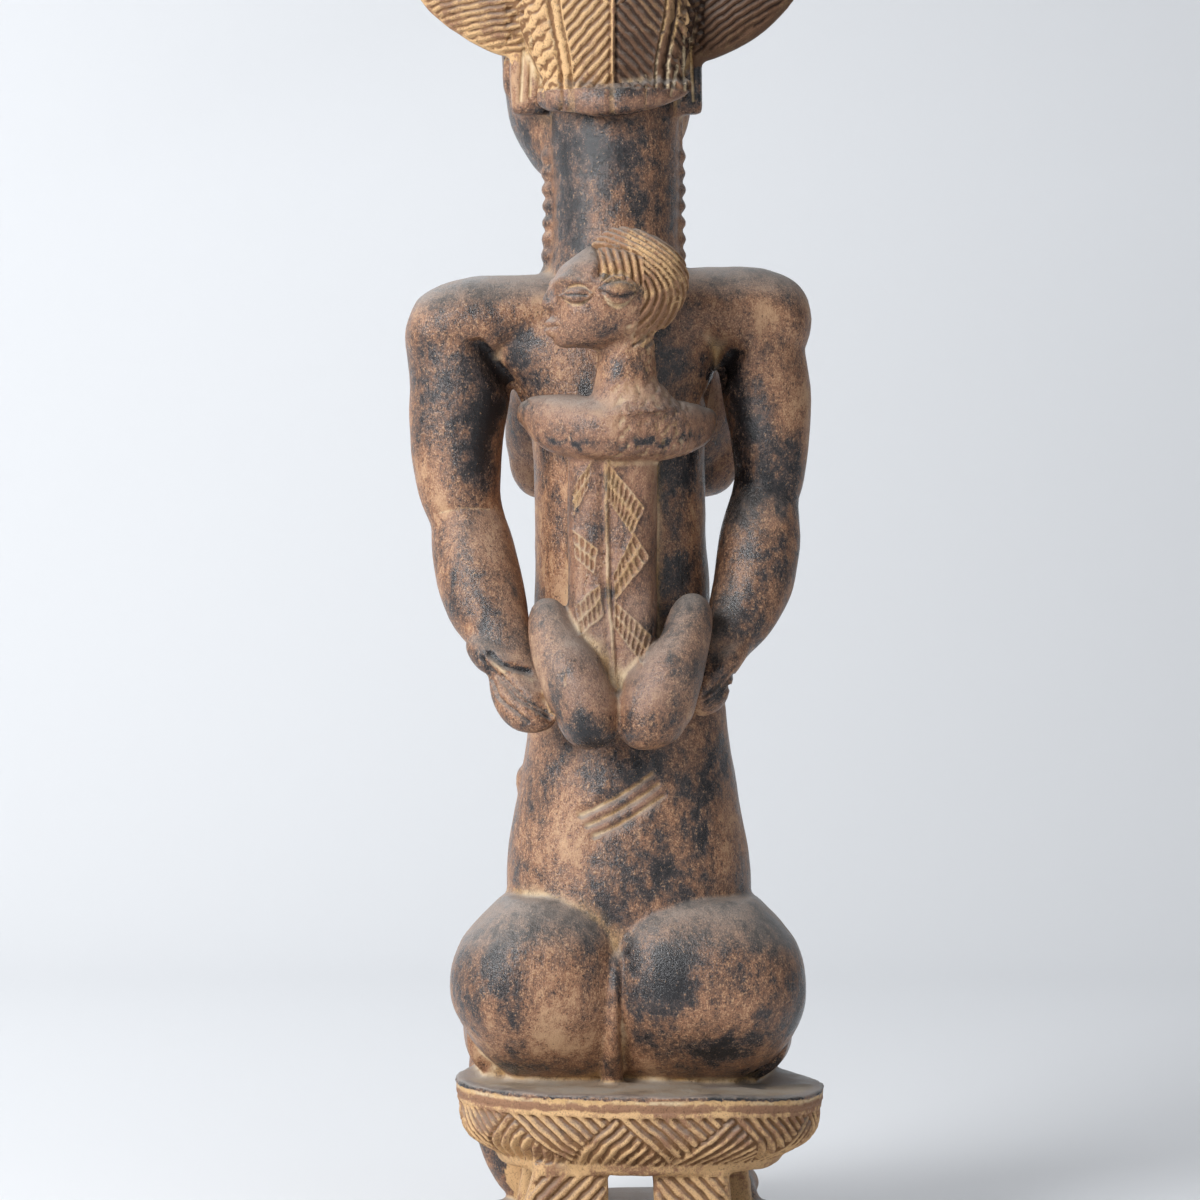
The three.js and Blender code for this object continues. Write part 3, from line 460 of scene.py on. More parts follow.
# The mother's head: a smooth, calm mask with a long nose, lidded eyes and a
# small mouth. Flat flaps of the coiffure hang behind small ears.
HEAD_X = 27.5
limb([[HEAD_X, -58, 697, 20, 20], [HEAD_X, -54, 714, 42, 38], [HEAD_X, -50, 733, 54.5, 46],
      [HEAD_X, -48, 750, 60, 51], [HEAD_X, -46, 786, 64.5, 57], [HEAD_X, -42, 826, 61, 60],
      [HEAD_X, -38, 862, 50, 54], [HEAD_X, -36, 884, 28, 34]], square=2.2, start=0.1, end=0.15)
limb([[HEAD_X, -97, 824, 7, 7], [HEAD_X, -104, 800, 8, 9], [HEAD_X, -109, 780, 10, 12],
      [HEAD_X, -110, 768, 14, 11]], start=0.1, end=0.2)
for side in (1, -1):
    egg((HEAD_X + side * 27, -93, 799), (16, 8, 8), turn=(0, 0, side * 20))
    egg((HEAD_X + side * 58, -34, 776), (6, 12, 18), square=2.4)
    limb([[HEAD_X + side * 50, -98, 812, 3, 4], [HEAD_X + side * 28, -103, 817, 4, 5],
          [HEAD_X + side * 8, -104, 812, 3, 4]], side=(0, 0, 1))
egg((HEAD_X, -97, 742), (19, 11, 10))
egg((HEAD_X, -84, 714), (20, 14, 12))
FLAPS = (72.5, -27.0)
SLIT_DEPTH, FLAP_DEPTH = 1.8, 1.3
for flap_x in FLAPS:
    limb([[flap_x, -8, 745.5, 12, 13], [flap_x + 0.5, -6, 770, 12.5, 15], [flap_x, -2, 794, 12, 14]],
         square=5, start=0, end=0.1, rings=40)
fine_places.append(((50, -30, 745), (90, 20, 800)))


def cut_face(places, normal):
    """Slits for the mother's eyes and mouth."""
    x, y, z = places.T
    front = (normal[:, 1] < -0.2) & (y < -80)
    slit = cut_line(x, z, [(HEAD_X - 17, 742.5), (HEAD_X, 741), (HEAD_X + 17, 742.5)], 1.5)
    for side in (1, -1):
        slit += cut_line(x, z, [(HEAD_X + side * 13, 797.5), (HEAD_X + side * 27, 795.5),
                                (HEAD_X + side * 41, 798)], 1.5)
    depth = front * SLIT_DEPTH * slit
    return {"depth": depth, "clay": 0.5 * (depth > 0.4)}


def cut_flaps(places, normal):
    """Two upright strokes and a slanting one on the back of each flap."""
    x, y, z = places.T
    depth, here = np.zeros(len(places)), (normal[:, 1] > 0.2) & (y > -10) & (z > 750) & (z < 792)
    for flap_x, way in zip(FLAPS, (1, -1)):
        for start, stop in (((4, 790), (6, 753)), ((-1, 790), (0, 756)), ((-5, 772), (-9, 752))):
            depth += here * FLAP_DEPTH * cut_line(x, z, [(flap_x + way * start[0], start[1]),
                                                         (flap_x + way * stop[0], stop[1])], 1.6)
    # painted light and shade: the flap on her left, on the lit side, is lighter, and the one on her right,
    # on the shaded side, is darker
    return {"depth": depth, "clay": 0.6 * depth, "tone": here * np.where(x > 40, 0.5, -0.4)}


cuts += [cut_face, cut_flaps]

# Coiffure: a cap of plaits, a crest along the head that falls to a shield on
# the nape with a lip under it, and a ribbed leaf rising on each side.
CROWN_X = 25.0
CAP_CENTRE, CAP_RADII = (CROWN_X, -26, 826), (67, 66, 64)
egg(CAP_CENTRE, CAP_RADII)
limb([[CROWN_X, -96, 838, 13, 14], [CROWN_X, -84, 874, 17, 20], [CROWN_X, -52, 902, 20, 28],
      [CROWN_X, -14, 906, 23, 28], [CROWN_X, 16, 886, 26, 22]], square=2.6, start=0.12, end=0.2)
limb([[15, 23, 752, 40, 22], [18, 22, 772, 47, 25], [22, 17, 804, 57, 31], [24, 8, 842, 59, 36],
      [25, -4, 878, 46, 38], [25, -14, 900, 30, 34]], square=3.2, start=0.04, end=0.12, rings=96)
limb([[62, 22, 756, 8, 8], [55.5, 34, 752.5, 10, 8.5], [46, 41, 752, 10.5, 9.5], [27, 49, 748.5, 10, 10],
      [9.6, 50, 749.5, 10, 10], [-8, 44, 753.5, 9, 9.5], [-21, 34, 757.5, 6.5, 8.5], [-29, 22, 763, 4, 6]],
     side=(0, 0, 1), square=3.4, start=0.05, end=0.1, rings=96)
# each leaf: way, distance from the middle, height, half length, half width
leaves = ((1, 69.0, 834.0, 71.0, 46.0), (-1, 69.0, 833.0, 72.5, 49.5))
LEAF_Y, LEAF_THICK, LEAF_RISE = 4.0, 18.0, 34.0  # half thickness in mm, rise in degrees
for way, aside, height, long_half, short_half in leaves:
    egg((CROWN_X + way * aside, LEAF_Y, height), (long_half, LEAF_THICK, short_half),
        turn=(0, -way * LEAF_RISE, 0), rings=80, columns=80)
fine_places += [((-40, 5, 736), (100, 80, 905)), ((70, -40, 765), (210, 60, 925)),
                ((-160, -40, 765), (-20, 60, 925))]

SHIELD_X = 19.0
PLAIT_PITCH, PLAIT_SLOPE, PLAIT_DEPTH = 5.3, 1.1, 2.1
CORD_WIDTH, CORD_DEPTH = 7.6, 2.2
TURNOVER = 808.0  # where the plaits of the shield turn over, to meet as a lozenge


def cut_shield(places, normal):
    """Herringbone on both sides of a thin middle rib, and rough upright cords along both edges."""
    x, y, z = places.T
    u = x - SHIELD_X
    half = 26 + 7.5 * ramp(z, 765, 815)
    here = ((normal[:, 1] > 0.15) & (z > 756) & (z < 905) & (y > 6) & (np.abs(x - 24) < 64)
            & ((y > 13.5) | (z > 800))).astype(float)
    wave = 0.5 * wander(places, 11, 41) + 0.25 * wander(places, 5, 42)
    fall = np.where(z < TURNOVER + 0.5 * np.abs(u), z + PLAIT_SLOPE * np.abs(u), z - PLAIT_SLOPE * np.abs(u))
    plaits = furrows(fall / math.hypot(1, PLAIT_SLOPE) + wave, PLAIT_PITCH, 1.1)
    inner = ramp(half - np.abs(u), 0, 1.2)
    rib = hump(np.abs(u) - 2.2, 1.6) - 0.5 * hump(u, 1.5)
    beyond = np.abs(u) - half
    cords = ramp(beyond, -0.3, 0.6)
    slant = np.where(u > 0, z + 0.8 * u, z - 1.2 * u)
    cord = np.where(beyond < 9.5, furrows(beyond + 0.8 * wander(places, 7, 43), CORD_WIDTH, 1.6),
                    0.8 * furrows(slant + 2 * wander(places, 9, 44), 9.5, 2.0))
    broken = 0.35 * np.clip(wander(places, 4.4, 45) + wander(places, 2.9, 46) + 0.3, 0, 2)
    depth = here * (inner * (PLAIT_DEPTH * plaits * (1 - 0.8 * hump(u, 2.2)) + 1.1 * rib)
                    + cords * (CORD_DEPTH * cord + broken))
    # painted light and shade: tone lightens the half on her left, on the lit side, and darkens the half on
    # her right, on the shaded side
    dark = here * ramp(-u, -3, 3) * (beyond < 14)
    groove = here * tent(np.abs(beyond - 5) - 3.8, 1.6)
    return {"depth": depth, "carved": here, "tone": 0.4 * here * (u > 0) - 0.62 * dark,
            "clay": (0.55 + 0.25 * (u < 0)) * groove}


def cut_lip(places, normal):
    """Notches across the face of the lip under the shield."""
    x, y, z = places.T
    here = (normal[:, 1] > 0.2) & (z < 766) & (z > 736) & (y > 37)
    depth = np.zeros(len(places))
    for notch_x, wide, deep in ((46, 3.2, 1.1), (52, 1.3, 1.6), (19.5, 2.6, 1.1), (-2, 1.2, 0.5)):
        depth += here * deep * hump(x - notch_x, wide)
    return {"depth": depth, "clay": 0.35 * (depth > 0.3), "tone": here * 0.35, "plum": here * 0.6}


LEAF_PITCH, LEAF_CUT_DEPTH = 4.3, 1.8


def cut_leaves(places, normal):
    """Combed cuts along each leaf: nearly level behind on her left, along its lower edge elsewhere."""
    x, y, z = places.T
    depth, carved, tone = (np.zeros(len(places)) for _ in range(3))
    c, s = math.cos(math.radians(LEAF_RISE)), math.sin(math.radians(LEAF_RISE))
    wave = 0.35 * wander(places, 12, 51) + 0.2 * wander(places, 5, 52)
    for way, aside, height, long_half, short_half in leaves:
        out, up = (x - CROWN_X) * way - aside, z - height
        run, rise = out * c + up * s, -out * s + up * c
        rim = np.sqrt((run / long_half) ** 2 + (rise / short_half) ** 2)
        here = (((x - CROWN_X) * way > 48) & (np.abs(y - LEAF_Y) < 30) & (z > 768) & (rim < 1.05)
                & (np.abs(normal[:, 1]) > 0.2))
        combed = np.where((normal[:, 1] > 0) & (way > 0), z + 0.14 * out + 0.0014 * out**2,
                          rise + 0.0014 * run**2)
        keep = ramp((0.99 if way > 0 else 0.93) - rim, 0, 0.04)
        depth += here * keep * LEAF_CUT_DEPTH * furrows(combed + wave, LEAF_PITCH, 1.1)
        carved = np.maximum(carved, here * 1.0)
        # painted shade: the leaf on her right, on the shaded side, is darkened much more than the one on her
        # left
        tone += here * (-0.12 if way > 0 else -0.9)
    return {"depth": depth, "carved": carved, "tone": tone}


CAP_PITCH, CAP_DEPTH = 6.2, 1.6
CREST_PITCH, CREST_DEPTH = 6.6, 1.7


def cut_cap(places, normal):
    """Plaits combed back over the cap in front of the shield, and level cuts over the crest."""
    x, y, z = places.T
    beside = np.abs(x - CROWN_X)
    cap = (np.linalg.norm((places - CAP_CENTRE) / CAP_RADII, axis=1) < 1.06) & (z > 812 - 0.25 * y) \
        & (beside < 66) & (y < 6)
    crest = (beside < 28) & (z > 862) & (y < 45)
    wave = 0.4 * wander(places, 11, 53)
    depth = (cap & ~crest) * CAP_DEPTH * furrows(beside * 0.8 - 0.45 * y + wave, CAP_PITCH, 1.1) \
        + crest * CREST_DEPTH * furrows(0.8 * y - 0.6 * z + 0.5 * beside + wave, CREST_PITCH, 1.1)
    return {"depth": depth, "carved": (cap | crest) * 1.0, "tone": (cap | crest) * -0.2}


cuts += [cut_shield, cut_lip, cut_leaves, cut_cap]

# Child: a straight body held against her back, thick shoulders like a yoke,
# thighs drawn up into her hands, and a head turned to the mother's left.
limb([[18, 52, 356, 24, 28], [19, 54, 385, 27.5, 29], [19.5, 55, 450, 28, 28], [19.5, 56, 510, 28.3, 28],
      [19.5, 58, 545, 27, 28]], square=3.8, start=0.08, end=0, rings=96)
limb([[76, 36, 550, 8, 9], [67, 46, 549.5, 12, 14], [53, 60, 544, 18.5, 20], [38, 70, 540.5, 20, 24],
      [17, 77, 538.5, 19.5, 26], [-10, 70, 539, 19, 23], [-27, 56, 541, 15.5, 18], [-37, 44, 545, 10, 12],
      [-44, 36, 546, 5, 6]], side=(0, 0, 1), square=2.7, start=0.06, end=0.06, rings=96)
limb([[9.4, 78, 552, 34, 28], [9.8, 79, 558, 26, 23], [11.1, 80, 566, 21, 19.5], [11.2, 81, 574, 19.4, 18.5],
      [11.1, 82, 589, 18, 18], [12.5, 84, 612, 20, 21]], start=0, end=0)
limb([[33.5, 82, 338.6, 17.5, 21], [33.5, 83, 346, 18.5, 23], [34, 84, 355, 19.5, 25],
      [37.5, 84, 368, 21.5, 25.5], [45.5, 82, 385, 20.5, 24], [54, 76, 400, 17.5, 20], [59, 68, 415, 14, 17],
      [62, 60, 431, 11, 13]], start=0.26, end=0.12)
limb([[-3, 82, 338.6, 18, 21], [-3, 83, 346, 20, 23], [-4.5, 84, 355, 21.5, 25], [-8.5, 84, 368, 24.5, 25.5],
      [-17, 82, 385, 21, 24], [-24.5, 76, 400, 16.5, 20], [-29, 70, 415, 15, 17], [-34, 60, 434, 11, 12]],
     start=0.24, end=0.1)

CHILD_HEAD = np.array([15.0, 84.0, 627.0])
CHILD_TURN = 13.0
child_axes = turned(2, CHILD_TURN)


def on_child(u, v, w):
    """A place from the child's own axes: u along its face, v towards its right side, w up."""
    return CHILD_HEAD + child_axes @ np.array([u, v, w], float)


child_ahead, child_side = child_axes[:, 0], child_axes[:, 1]
# the skull from chin to crown: height, how far forward, half length, half width
SKULL = (
    (-38, 17, 14, 9), (-35, 17.5, 20.5, 16), (-31, 14.5, 27.5, 21.5), (-25, 7.5, 35.5, 27),
    (-17, 3.5, 39.5, 30.5), (-9, 1.0, 42, 32.5), (-2, -0.3, 43.3, 33.5), (6, -1.3, 43.3, 34),
    (14, -2.8, 40, 33), (21, -6, 33.5, 29.5), (28, -7, 24.5, 23), (33, -5, 18, 17), (36.5, -3, 12, 12),
    (39, -1, 8, 8),
)
limb([[*on_child(u, 0, w), half_u, half_v] for w, u, half_u, half_v in SKULL],
     side=child_ahead, square=2.1, start=0.05, end=0.08, rings=110, level=True)
limb([[*on_child(39, 0, 5), 4, 4], [*on_child(44, 0, -6), 5, 5], [*on_child(46.5, 0, -14), 7.5, 5.5]],
     side=child_side, end=0.3)
egg(on_child(42.5, 0, -22), (6, 9.5, 3.0), turn=(0, 0, CHILD_TURN))
egg(on_child(41.5, 0, -27.5), (6, 8.5, 3.2), turn=(0, 0, CHILD_TURN))
egg(on_child(33, 0, -32), (9, 12, 5.5), turn=(0, 0, CHILD_TURN))
for side in (1, -1):
    egg(on_child(32, side * 19.5, -5.5), (10.5, 7, 5.2), turn=(0, 0, CHILD_TURN - side * 38))
    limb([[*on_child(43, side * 6, 2), 3, 3], [*on_child(36, side * 19, 4.5), 3.4, 3],
          [*on_child(24, side * 28, 1.5), 2.6, 2.4]], side=(0, 0, 1))
    egg(on_child(8.5, side * 29.5, -2), (11.5, 8.5, 7.5), turn=(0, 0, CHILD_TURN), square=2.3)
fine_places += [((-40, 40, 580), (75, 130, 675)), ((-16, 68, 360), (50, 100, 524)),
                ((-50, 60, 515), (84, 115, 568))]

STRAND_PITCH, UPRIGHT_PITCH, HAIR_DEPTH = 5.2, 4.9, 2.5


def cut_child_hair(places, normal):
    """Upright strands over the ear, and above their seam long strands swept back and down to the nape."""
    place = (places - CHILD_HEAD) @ child_axes
    u, _, w = place.T
    on_head = (np.linalg.norm(place - np.array([-3, 0, 2]), axis=1) < 50) & (w > -37) & (u < 26)
    front = 20.5 - 0.08 * w
    under_front = 8.7 - 0.34 * (20 - u)
    behind = u < -8 - 0.1 * np.minimum(w, 0)
    hair = on_head & (u < front) & ((w > under_front) | behind)
    seam = 26.5 - 0.0095 * (20 - u) ** 2
    upright = hair & (w < seam) & ~behind
    sweep = hair & ~upright
    wave = 0.3 * wander(places, 9, 61)
    swept = np.hypot(u - 8.5 - 26 * ramp(w, -8, 42), w + 2)
    strands = sweep * furrows(swept + wave, STRAND_PITCH, 2.6) \
        + upright * furrows(u - 0.1 * w + 1.2 + wave, UPRIGHT_PITCH, 2.2)
    line = hump(w - seam, 1.3) * hair * ~behind + hump(u - front, 1.3) * on_head * (w > 6) * (w < 34)
    over_ear = on_head & (u < 20) & (u > -12) & (np.abs(w - under_front + 3.0) < 3.0)
    return {"depth": HAIR_DEPTH * np.maximum(strands, line), "carved": hair * 1.0, "plum": hair * 0.6,
            "clay": over_ear * 0.35, "tone": hair * 0.12}


EAR, EYE = (8.5, -2.0, 12.5, 8.0), (32.5, -5.5, 9.0, 4.2)  # place along and up, half length, half width
EAR_RISE, EYE_RISE, EAR_GROOVE = 1.8, 1.1, 2.4


def on_leaf(along, across, long_half, wide_half):
    """How far out a place is on a leaf shape: 0 on its middle line, 1 on its edge."""
    return np.abs(across) / (wide_half * np.maximum(1 - (along / long_half) ** 2, 0.02))


def cut_child_face(places, normal):
    """Raised lids with a slit, leaf-shaped ears grooved inside the rim, nostrils and the mouth's line."""
    place = (places - CHILD_HEAD) @ child_axes
    u, v, w = place.T
    on_head = (np.linalg.norm(place, axis=1) < 62) & (w > -38)
    side = on_head & (np.abs(v) > 4)
    mouth = on_head * (u > 36) * cut_line(np.abs(v), w, [(0, -25.0), (9, -24.4)], 1.1)
    nostril = on_head * (u > 42) * cut_line(np.abs(v), w, [(4.5, -17.5), (6, -17.5)], 1.6)
    ear, eye = (on_leaf(u - at, w - up, *halves) for at, up, *halves in (EAR, EYE))
    near_ear, near_eye = (side * (np.abs(u - at) < half + 1) for at, _, half, _ in (EAR, EYE))
    raised = EAR_RISE * near_ear * ramp(ear, 1.12, 0.92) + EYE_RISE * near_eye * ramp(eye, 1.15, 0.85)
    hollow = near_ear * hump(ear - 0.60, 0.22)
    round_them = near_ear * hump(ear - 1.35, 0.3) + near_eye * hump(eye - 1.45, 0.4)
    slit = side * cut_line(u, w, [(27, -5.8), (38.5, -5.3)], 1.1)
    face = on_head * np.maximum(ramp(u, 18, 22), (w < -6) & (u > -6))
    brow = side * cut_line(u, w, [(24, 1.5), (35, 6.0), (43, 3)], 2.0)
    cuts_here = slit + mouth + nostril
    inner_ear = near_ear * ramp(ear, 0.45, 0.2)
    # painted shade: tone darkens the eye slit and the groove inside each ear
    return {"depth": 1.6 * cuts_here + EAR_GROOVE * hollow + 1.3 * round_them - raised,
            "clay": np.clip(0.2 * cuts_here + 0.6 * round_them + 0.3 * inner_ear + 0.3 * brow, 0, 1),
            "tone": 0.02 * face + 0.1 * raised - 0.9 * slit - 0.7 * hollow, "plum": 0.3 * face}


SPINE = [(23.8, 517), (23.2, 480), (22.6, 450), (21.5, 428), (19.5, 405), (18.5, 388), (17, 377)]
# corners of each band of pits: start and end of its upper edge, then end and start of its lower edge
bands = [
    [(22.4, 518), (-0.5, 490), (7.1, 473), (22.4, 495)], [(6.2, 474), (18.6, 449), (17.5, 432), (-3.5, 458)],
    [(17.8, 431), (-5, 409), (0.4, 391), (18.3, 415)], [(33, 518), (44.5, 502), (44.6, 484), (35.4, 501)],
    [(43.9, 475.6), (29.1, 464.4), (31, 448), (43, 459.2)],
    [(27.8, 441.5), (42.6, 428), (39.9, 409.4), (25.5, 422.4)],
]
PIT = 4.4  # pits along a band, two rows of them


def in_patch(x, z, corners):
    """Shares p, q with (x, z) = the blend of four corners by p along and q across, by Newton's method."""
    a, b, c, d = (np.asarray(corner, float) for corner in corners)
    p, q = np.full(len(x), 0.5), np.full(len(x), 0.5)
    for _ in range(6):
        by_p = (b - a) + (a - b + c - d) * q[:, None]
        by_q = (d - a) + (a - b + c - d) * p[:, None]
        miss = a + (b - a) * p[:, None] + (d - a) * q[:, None] + (a - b + c - d) * (p * q)[:, None]
        miss = miss - np.stack([x, z], axis=1)
        det = by_p[:, 0] * by_q[:, 1] - by_p[:, 1] * by_q[:, 0]
        det = np.where(np.abs(det) < 1e-6, 1e-6, det)
        p = np.clip(p - (miss[:, 0] * by_q[:, 1] - miss[:, 1] * by_q[:, 0]) / det, -3, 4)
        q = np.clip(q - (by_p[:, 0] * miss[:, 1] - by_p[:, 1] * miss[:, 0]) / det, -3, 4)
    return p, q


def cut_child_back(places, normal):
    """A low rib down the spine, and on both sides of it bands of pits with pale ridges between them."""
    x, y, z = places.T
    here = (normal[:, 1] > 0.1) & (y > 70) & (z > 362) & (z < 522) & (x > -16) & (x < 50)
    depth, ridge, net, plum = (np.zeros(len(places)) for _ in range(4))
    chosen = np.flatnonzero(here)
    px, pz = x[chosen], z[chosen]
    warp = 0.6 * wander(places[chosen], 8, 71)
    rib = cut_line(px + 0.5 * warp, pz, SPINE, 2.0)
    channel = cut_line(px, pz, SPINE, 6.0)
    deep, pale, netted = 1.6 * channel - 2.4 * rib, 1.4 * rib, np.zeros(len(px))
    for corners in bands:
        p, q = in_patch(px + warp * 0.5, pz + warp, corners)
        cells = max(3, round(math.dist(corners[0], corners[1]) / PIT))
        inside = np.minimum(np.minimum(p, 1 - p) * cells * PIT, np.minimum(q, 1 - q) * 18)
        band = ramp(inside, -1.2, 0)
        across, down = np.clip(p, 0, 1) * cells, np.clip(q, 0, 1) * 2
        pits = np.sqrt(np.abs(np.sin(np.pi * across) * np.sin(np.pi * down)))
        deep = deep * (1 - band) + band * (2.0 * ramp(pits, 0.25, 0.85) - 0.9)
        pale = np.maximum(pale * (1 - band), band * ramp(pits, 0.80, 0.45))
        netted = np.maximum(netted, band)
    depth[chosen], ridge[chosen], net[chosen] = deep, np.clip(pale, 0, 1), netted
    plum[chosen] = 0.6
    return {"depth": depth, "clay": 0.45 * ridge, "carved": 0.52 * net, "plum": plum, "tone": 0.3 * plum}


def cut_yoke_chips(places, normal):
    """Old bruises and crusted clay on the child's shoulders and the back of its neck."""
    x, y, z = places.T
    yoke = within(places, (-48, 58, 516), (80, 115, 570)) * 1.0
    neck = within(places, (-16, 70, 556), (20, 112, 604)) * ramp(18 - x, 0, 8)
    lumps = wander(places, 8, 81) + 0.8 * wander(places, 4.5, 82) + 0.5 * wander(places, 2.6, 83)
    crust = np.maximum(yoke * ramp(30 - x, 0, 16) * ramp(x + 34, 0, 8), neck)
    ragged = z + 3.2 * wander(places, 13, 85) + 1.5 * wander(places, 5, 86)
    bevel = yoke * tent(ragged - 529 - 0.1 * np.abs(x - 20), 4.5) * (y > 70)
    bevel *= ramp(wander(places, 16, 87), -1.2, 0.4)
    smooth = yoke * np.exp(-((x - 34) / 13) ** 2 - ((z - 541) / 5) ** 2)
    bruise = 1.2 * bevel * ramp(wander(places, 22, 84), -0.6, 0.4)
    return {"depth": crust * 0.55 * np.clip(lumps, -0.6, 1.4) + bruise,
            "clay": 0.45 * crust * ramp(lumps, 0.0, 1.2), "plum": 0.5 * yoke,
            "tone": 0.28 * (yoke + neck) - 0.9 * bevel - 0.5 * smooth}


def dust_on_thighs(places, normal):
    """Grey dust caught on the child's thighs and shoulders."""
    x, y, z = places.T
    thighs = within(places, (-48, 66, 336), (76, 120, 436)) * ramp(np.abs(x - 16), 0, 6) \
        * (normal[:, 1] > -0.2)
    on_thighs = thighs * ramp(y, 63, 89) * ramp(z, 352, 385)
    on_yoke = within(places, (-50, 30, 540), (84, 112, 572)) * ramp(normal[:, 2], 0.0, 0.7)
    return {"tone": -0.12 * thighs, "dust": 0.26 * on_thighs + 0.45 * on_yoke}


cuts += [cut_child_hair, cut_child_face, cut_child_back, cut_yoke_chips, dust_on_thighs]

# One surface over all the skins, as a carver has one surface of wood: the
# overlaps vanish, and the creases between forms stay, softened by the knife.
SKIN_CELL = 1.5
SOFTENING_PASSES, HOLLOW_PASSES = 4, 24


def mesh_from(name, points, faces):
    """A Blender mesh, in metres, from points in millimetres and faces of one size."""
    mesh = bpy.data.meshes.new(name)
    mesh.vertices.add(len(points))
    mesh.vertices.foreach_set("co", np.asarray(points, np.float32).ravel() * MM)
    mesh.loops.add(faces.size)
    mesh.loops.foreach_set("vertex_index", faces.astype(np.int32).ravel())
    mesh.polygons.add(len(faces))
    mesh.polygons.foreach_set("loop_start", np.arange(0, faces.size, faces.shape[1], dtype=np.int32))
    mesh.update(calc_edges=True)
    return mesh


def through_modifier(points, faces, kind, **settings):
    """Points and triangles after one Blender modifier."""
    work = bpy.data.objects.new("work", mesh_from("work", points, faces))
    bpy.context.scene.collection.objects.link(work)
    modifier = work.modifiers.new("work", kind)
    for name, value in settings.items():
        setattr(modifier, name, value)
    result = bpy.data.meshes.new_from_object(work.evaluated_get(bpy.context.evaluated_depsgraph_get()))
    result.calc_loop_triangles()
    made = np.empty(len(result.vertices) * 3, np.float32)
    result.vertices.foreach_get("co", made)
    triangles = np.empty(len(result.loop_triangles) * 3, np.int32)
    result.loop_triangles.foreach_get("vertices", triangles)
    bpy.data.objects.remove(work)
    bpy.data.meshes.remove(result)
    return made.reshape(-1, 3).astype(float) / MM, triangles.reshape(-1, 3).astype(np.int64)


def edges_of(triangles):
    """Every edge once, and for each triangle the numbers of its three edges."""
    pairs = np.sort(triangles[:, [[0, 1], [1, 2], [2, 0]]].reshape(-1, 2), axis=1)
    many = triangles.max() + 1
    key, which = np.unique(pairs[:, 0] * many + pairs[:, 1], return_inverse=True)
    return np.stack(np.divmod(key, many), axis=1), which.reshape(-1, 3)


def neighbour_mean(values, edges):
    """For each vertex, the mean of the values at the vertices that an edge joins to it."""
    a, b = edges.T
    many = np.bincount(a, minlength=len(values)) + np.bincount(b, minlength=len(values))
    total = np.stack([np.bincount(a, column[b], len(values)) + np.bincount(b, column[a], len(values))
                      for column in values.reshape(len(values), -1).T], axis=1)
    return (total / np.maximum(many, 1)[:, None]).reshape(values.shape)


def normals_of(points, triangles):
    """Unit normals at the vertices: the sum of their triangles' normals, weighted by area."""
    a, b, c = (points[triangles[:, k]] for k in range(3))
    flat = np.cross(b - a, c - a)
    total = np.stack([sum(np.bincount(triangles[:, k], flat[:, axis], len(points)) for k in range(3))
                      for axis in range(3)], axis=1)
    return total / np.maximum(np.linalg.norm(total, axis=1, keepdims=True), 1e-12)


starts = np.cumsum([0] + [len(points) for points, _ in skins])
points, triangles = through_modifier(
    np.concatenate([points for points, _ in skins]),
    np.concatenate([quads + start for (_, quads), start in zip(skins, starts)]),
    "REMESH", mode="VOXEL", voxel_size=SKIN_CELL * MM, adaptivity=0.0)
edges, _ = edges_of(triangles)
for _ in range(SOFTENING_PASSES):
    points = points + 0.6 * (neighbour_mean(points, edges) - points)

# how hollow each place is at a finger's breadth: the height of the smoothed skin over it
base_points, base_normal, smoothed = points, normals_of(points, triangles), points
for _ in range(HOLLOW_PASSES):
    smoothed = neighbour_mean(smoothed, edges)
base_hollow = np.einsum("ij,ij->i", smoothed - points, base_normal)

# Knife work: triangles are cut smaller where the carving is fine, and the
# surface sinks by the depth of every cut.
TOOL_MARKS = ((0.45, 46.0, 11), (0.2, 17.0, 12))  # height, length, seed
# patches where the wood is darker (tone below 0) or lighter (above 0): x, y, z, radius, tone. Some are oil
# and wear; the dark ones on the inner sides of her arms, beside the child's body and under her buttocks are
# painted shade
WORN_AND_SHADED = (
    (25, 36, 705, 42, -0.5), (-5, 30, 690, 30, 0.05), (45, 30, 700, 16, 0.3), (12, 24, 660, 40, -0.2),
    (104, 30, 545, 22, -0.9), (108, 30, 575, 20, -0.6), (102, 30, 505, 20, -0.7), (138, 24, 550, 34, 0.1),
    (128, 20, 600, 36, 0.1), (122, 34, 455, 26, -0.2), (-100, 26, 555, 34, 0.5), (-66, 28, 545, 20, -0.6),
    (-68, 30, 500, 22, -0.5), (-100, 30, 480, 30, 0.05), (-74, 30, 440, 34, 0.15), (60, 36, 560, 30, -0.25),
    (-30, 36, 600, 40, -0.2), (-36, 44, 430, 24, -0.6), (-32, 40, 520, 26, -0.5), (62, 44, 460, 20, 0.2),
    (20, 50, 330, 30, -0.4), (-10, 56, 290, 30, 0.25), (50, 50, 290, 34, 0.05), (60, 50, 255, 24, -0.25),
    (-30, 55, 262, 24, -0.25), (70, 82, 208, 24, -0.3), (64, 80, 170, 42, 0.28), (100, 60, 200, 36, 0.1),
    (-56, 84, 190, 40, 0.5), (-20, 84, 190, 20, -0.6), (-55, 70, 145, 26, -0.4), (36, 108, 352, 12, -0.7),
    (-6, 106, 356, 14, -0.6), (46, 106, 392, 24, 0.1), (-24, 100, 396, 22, 0.15),
)


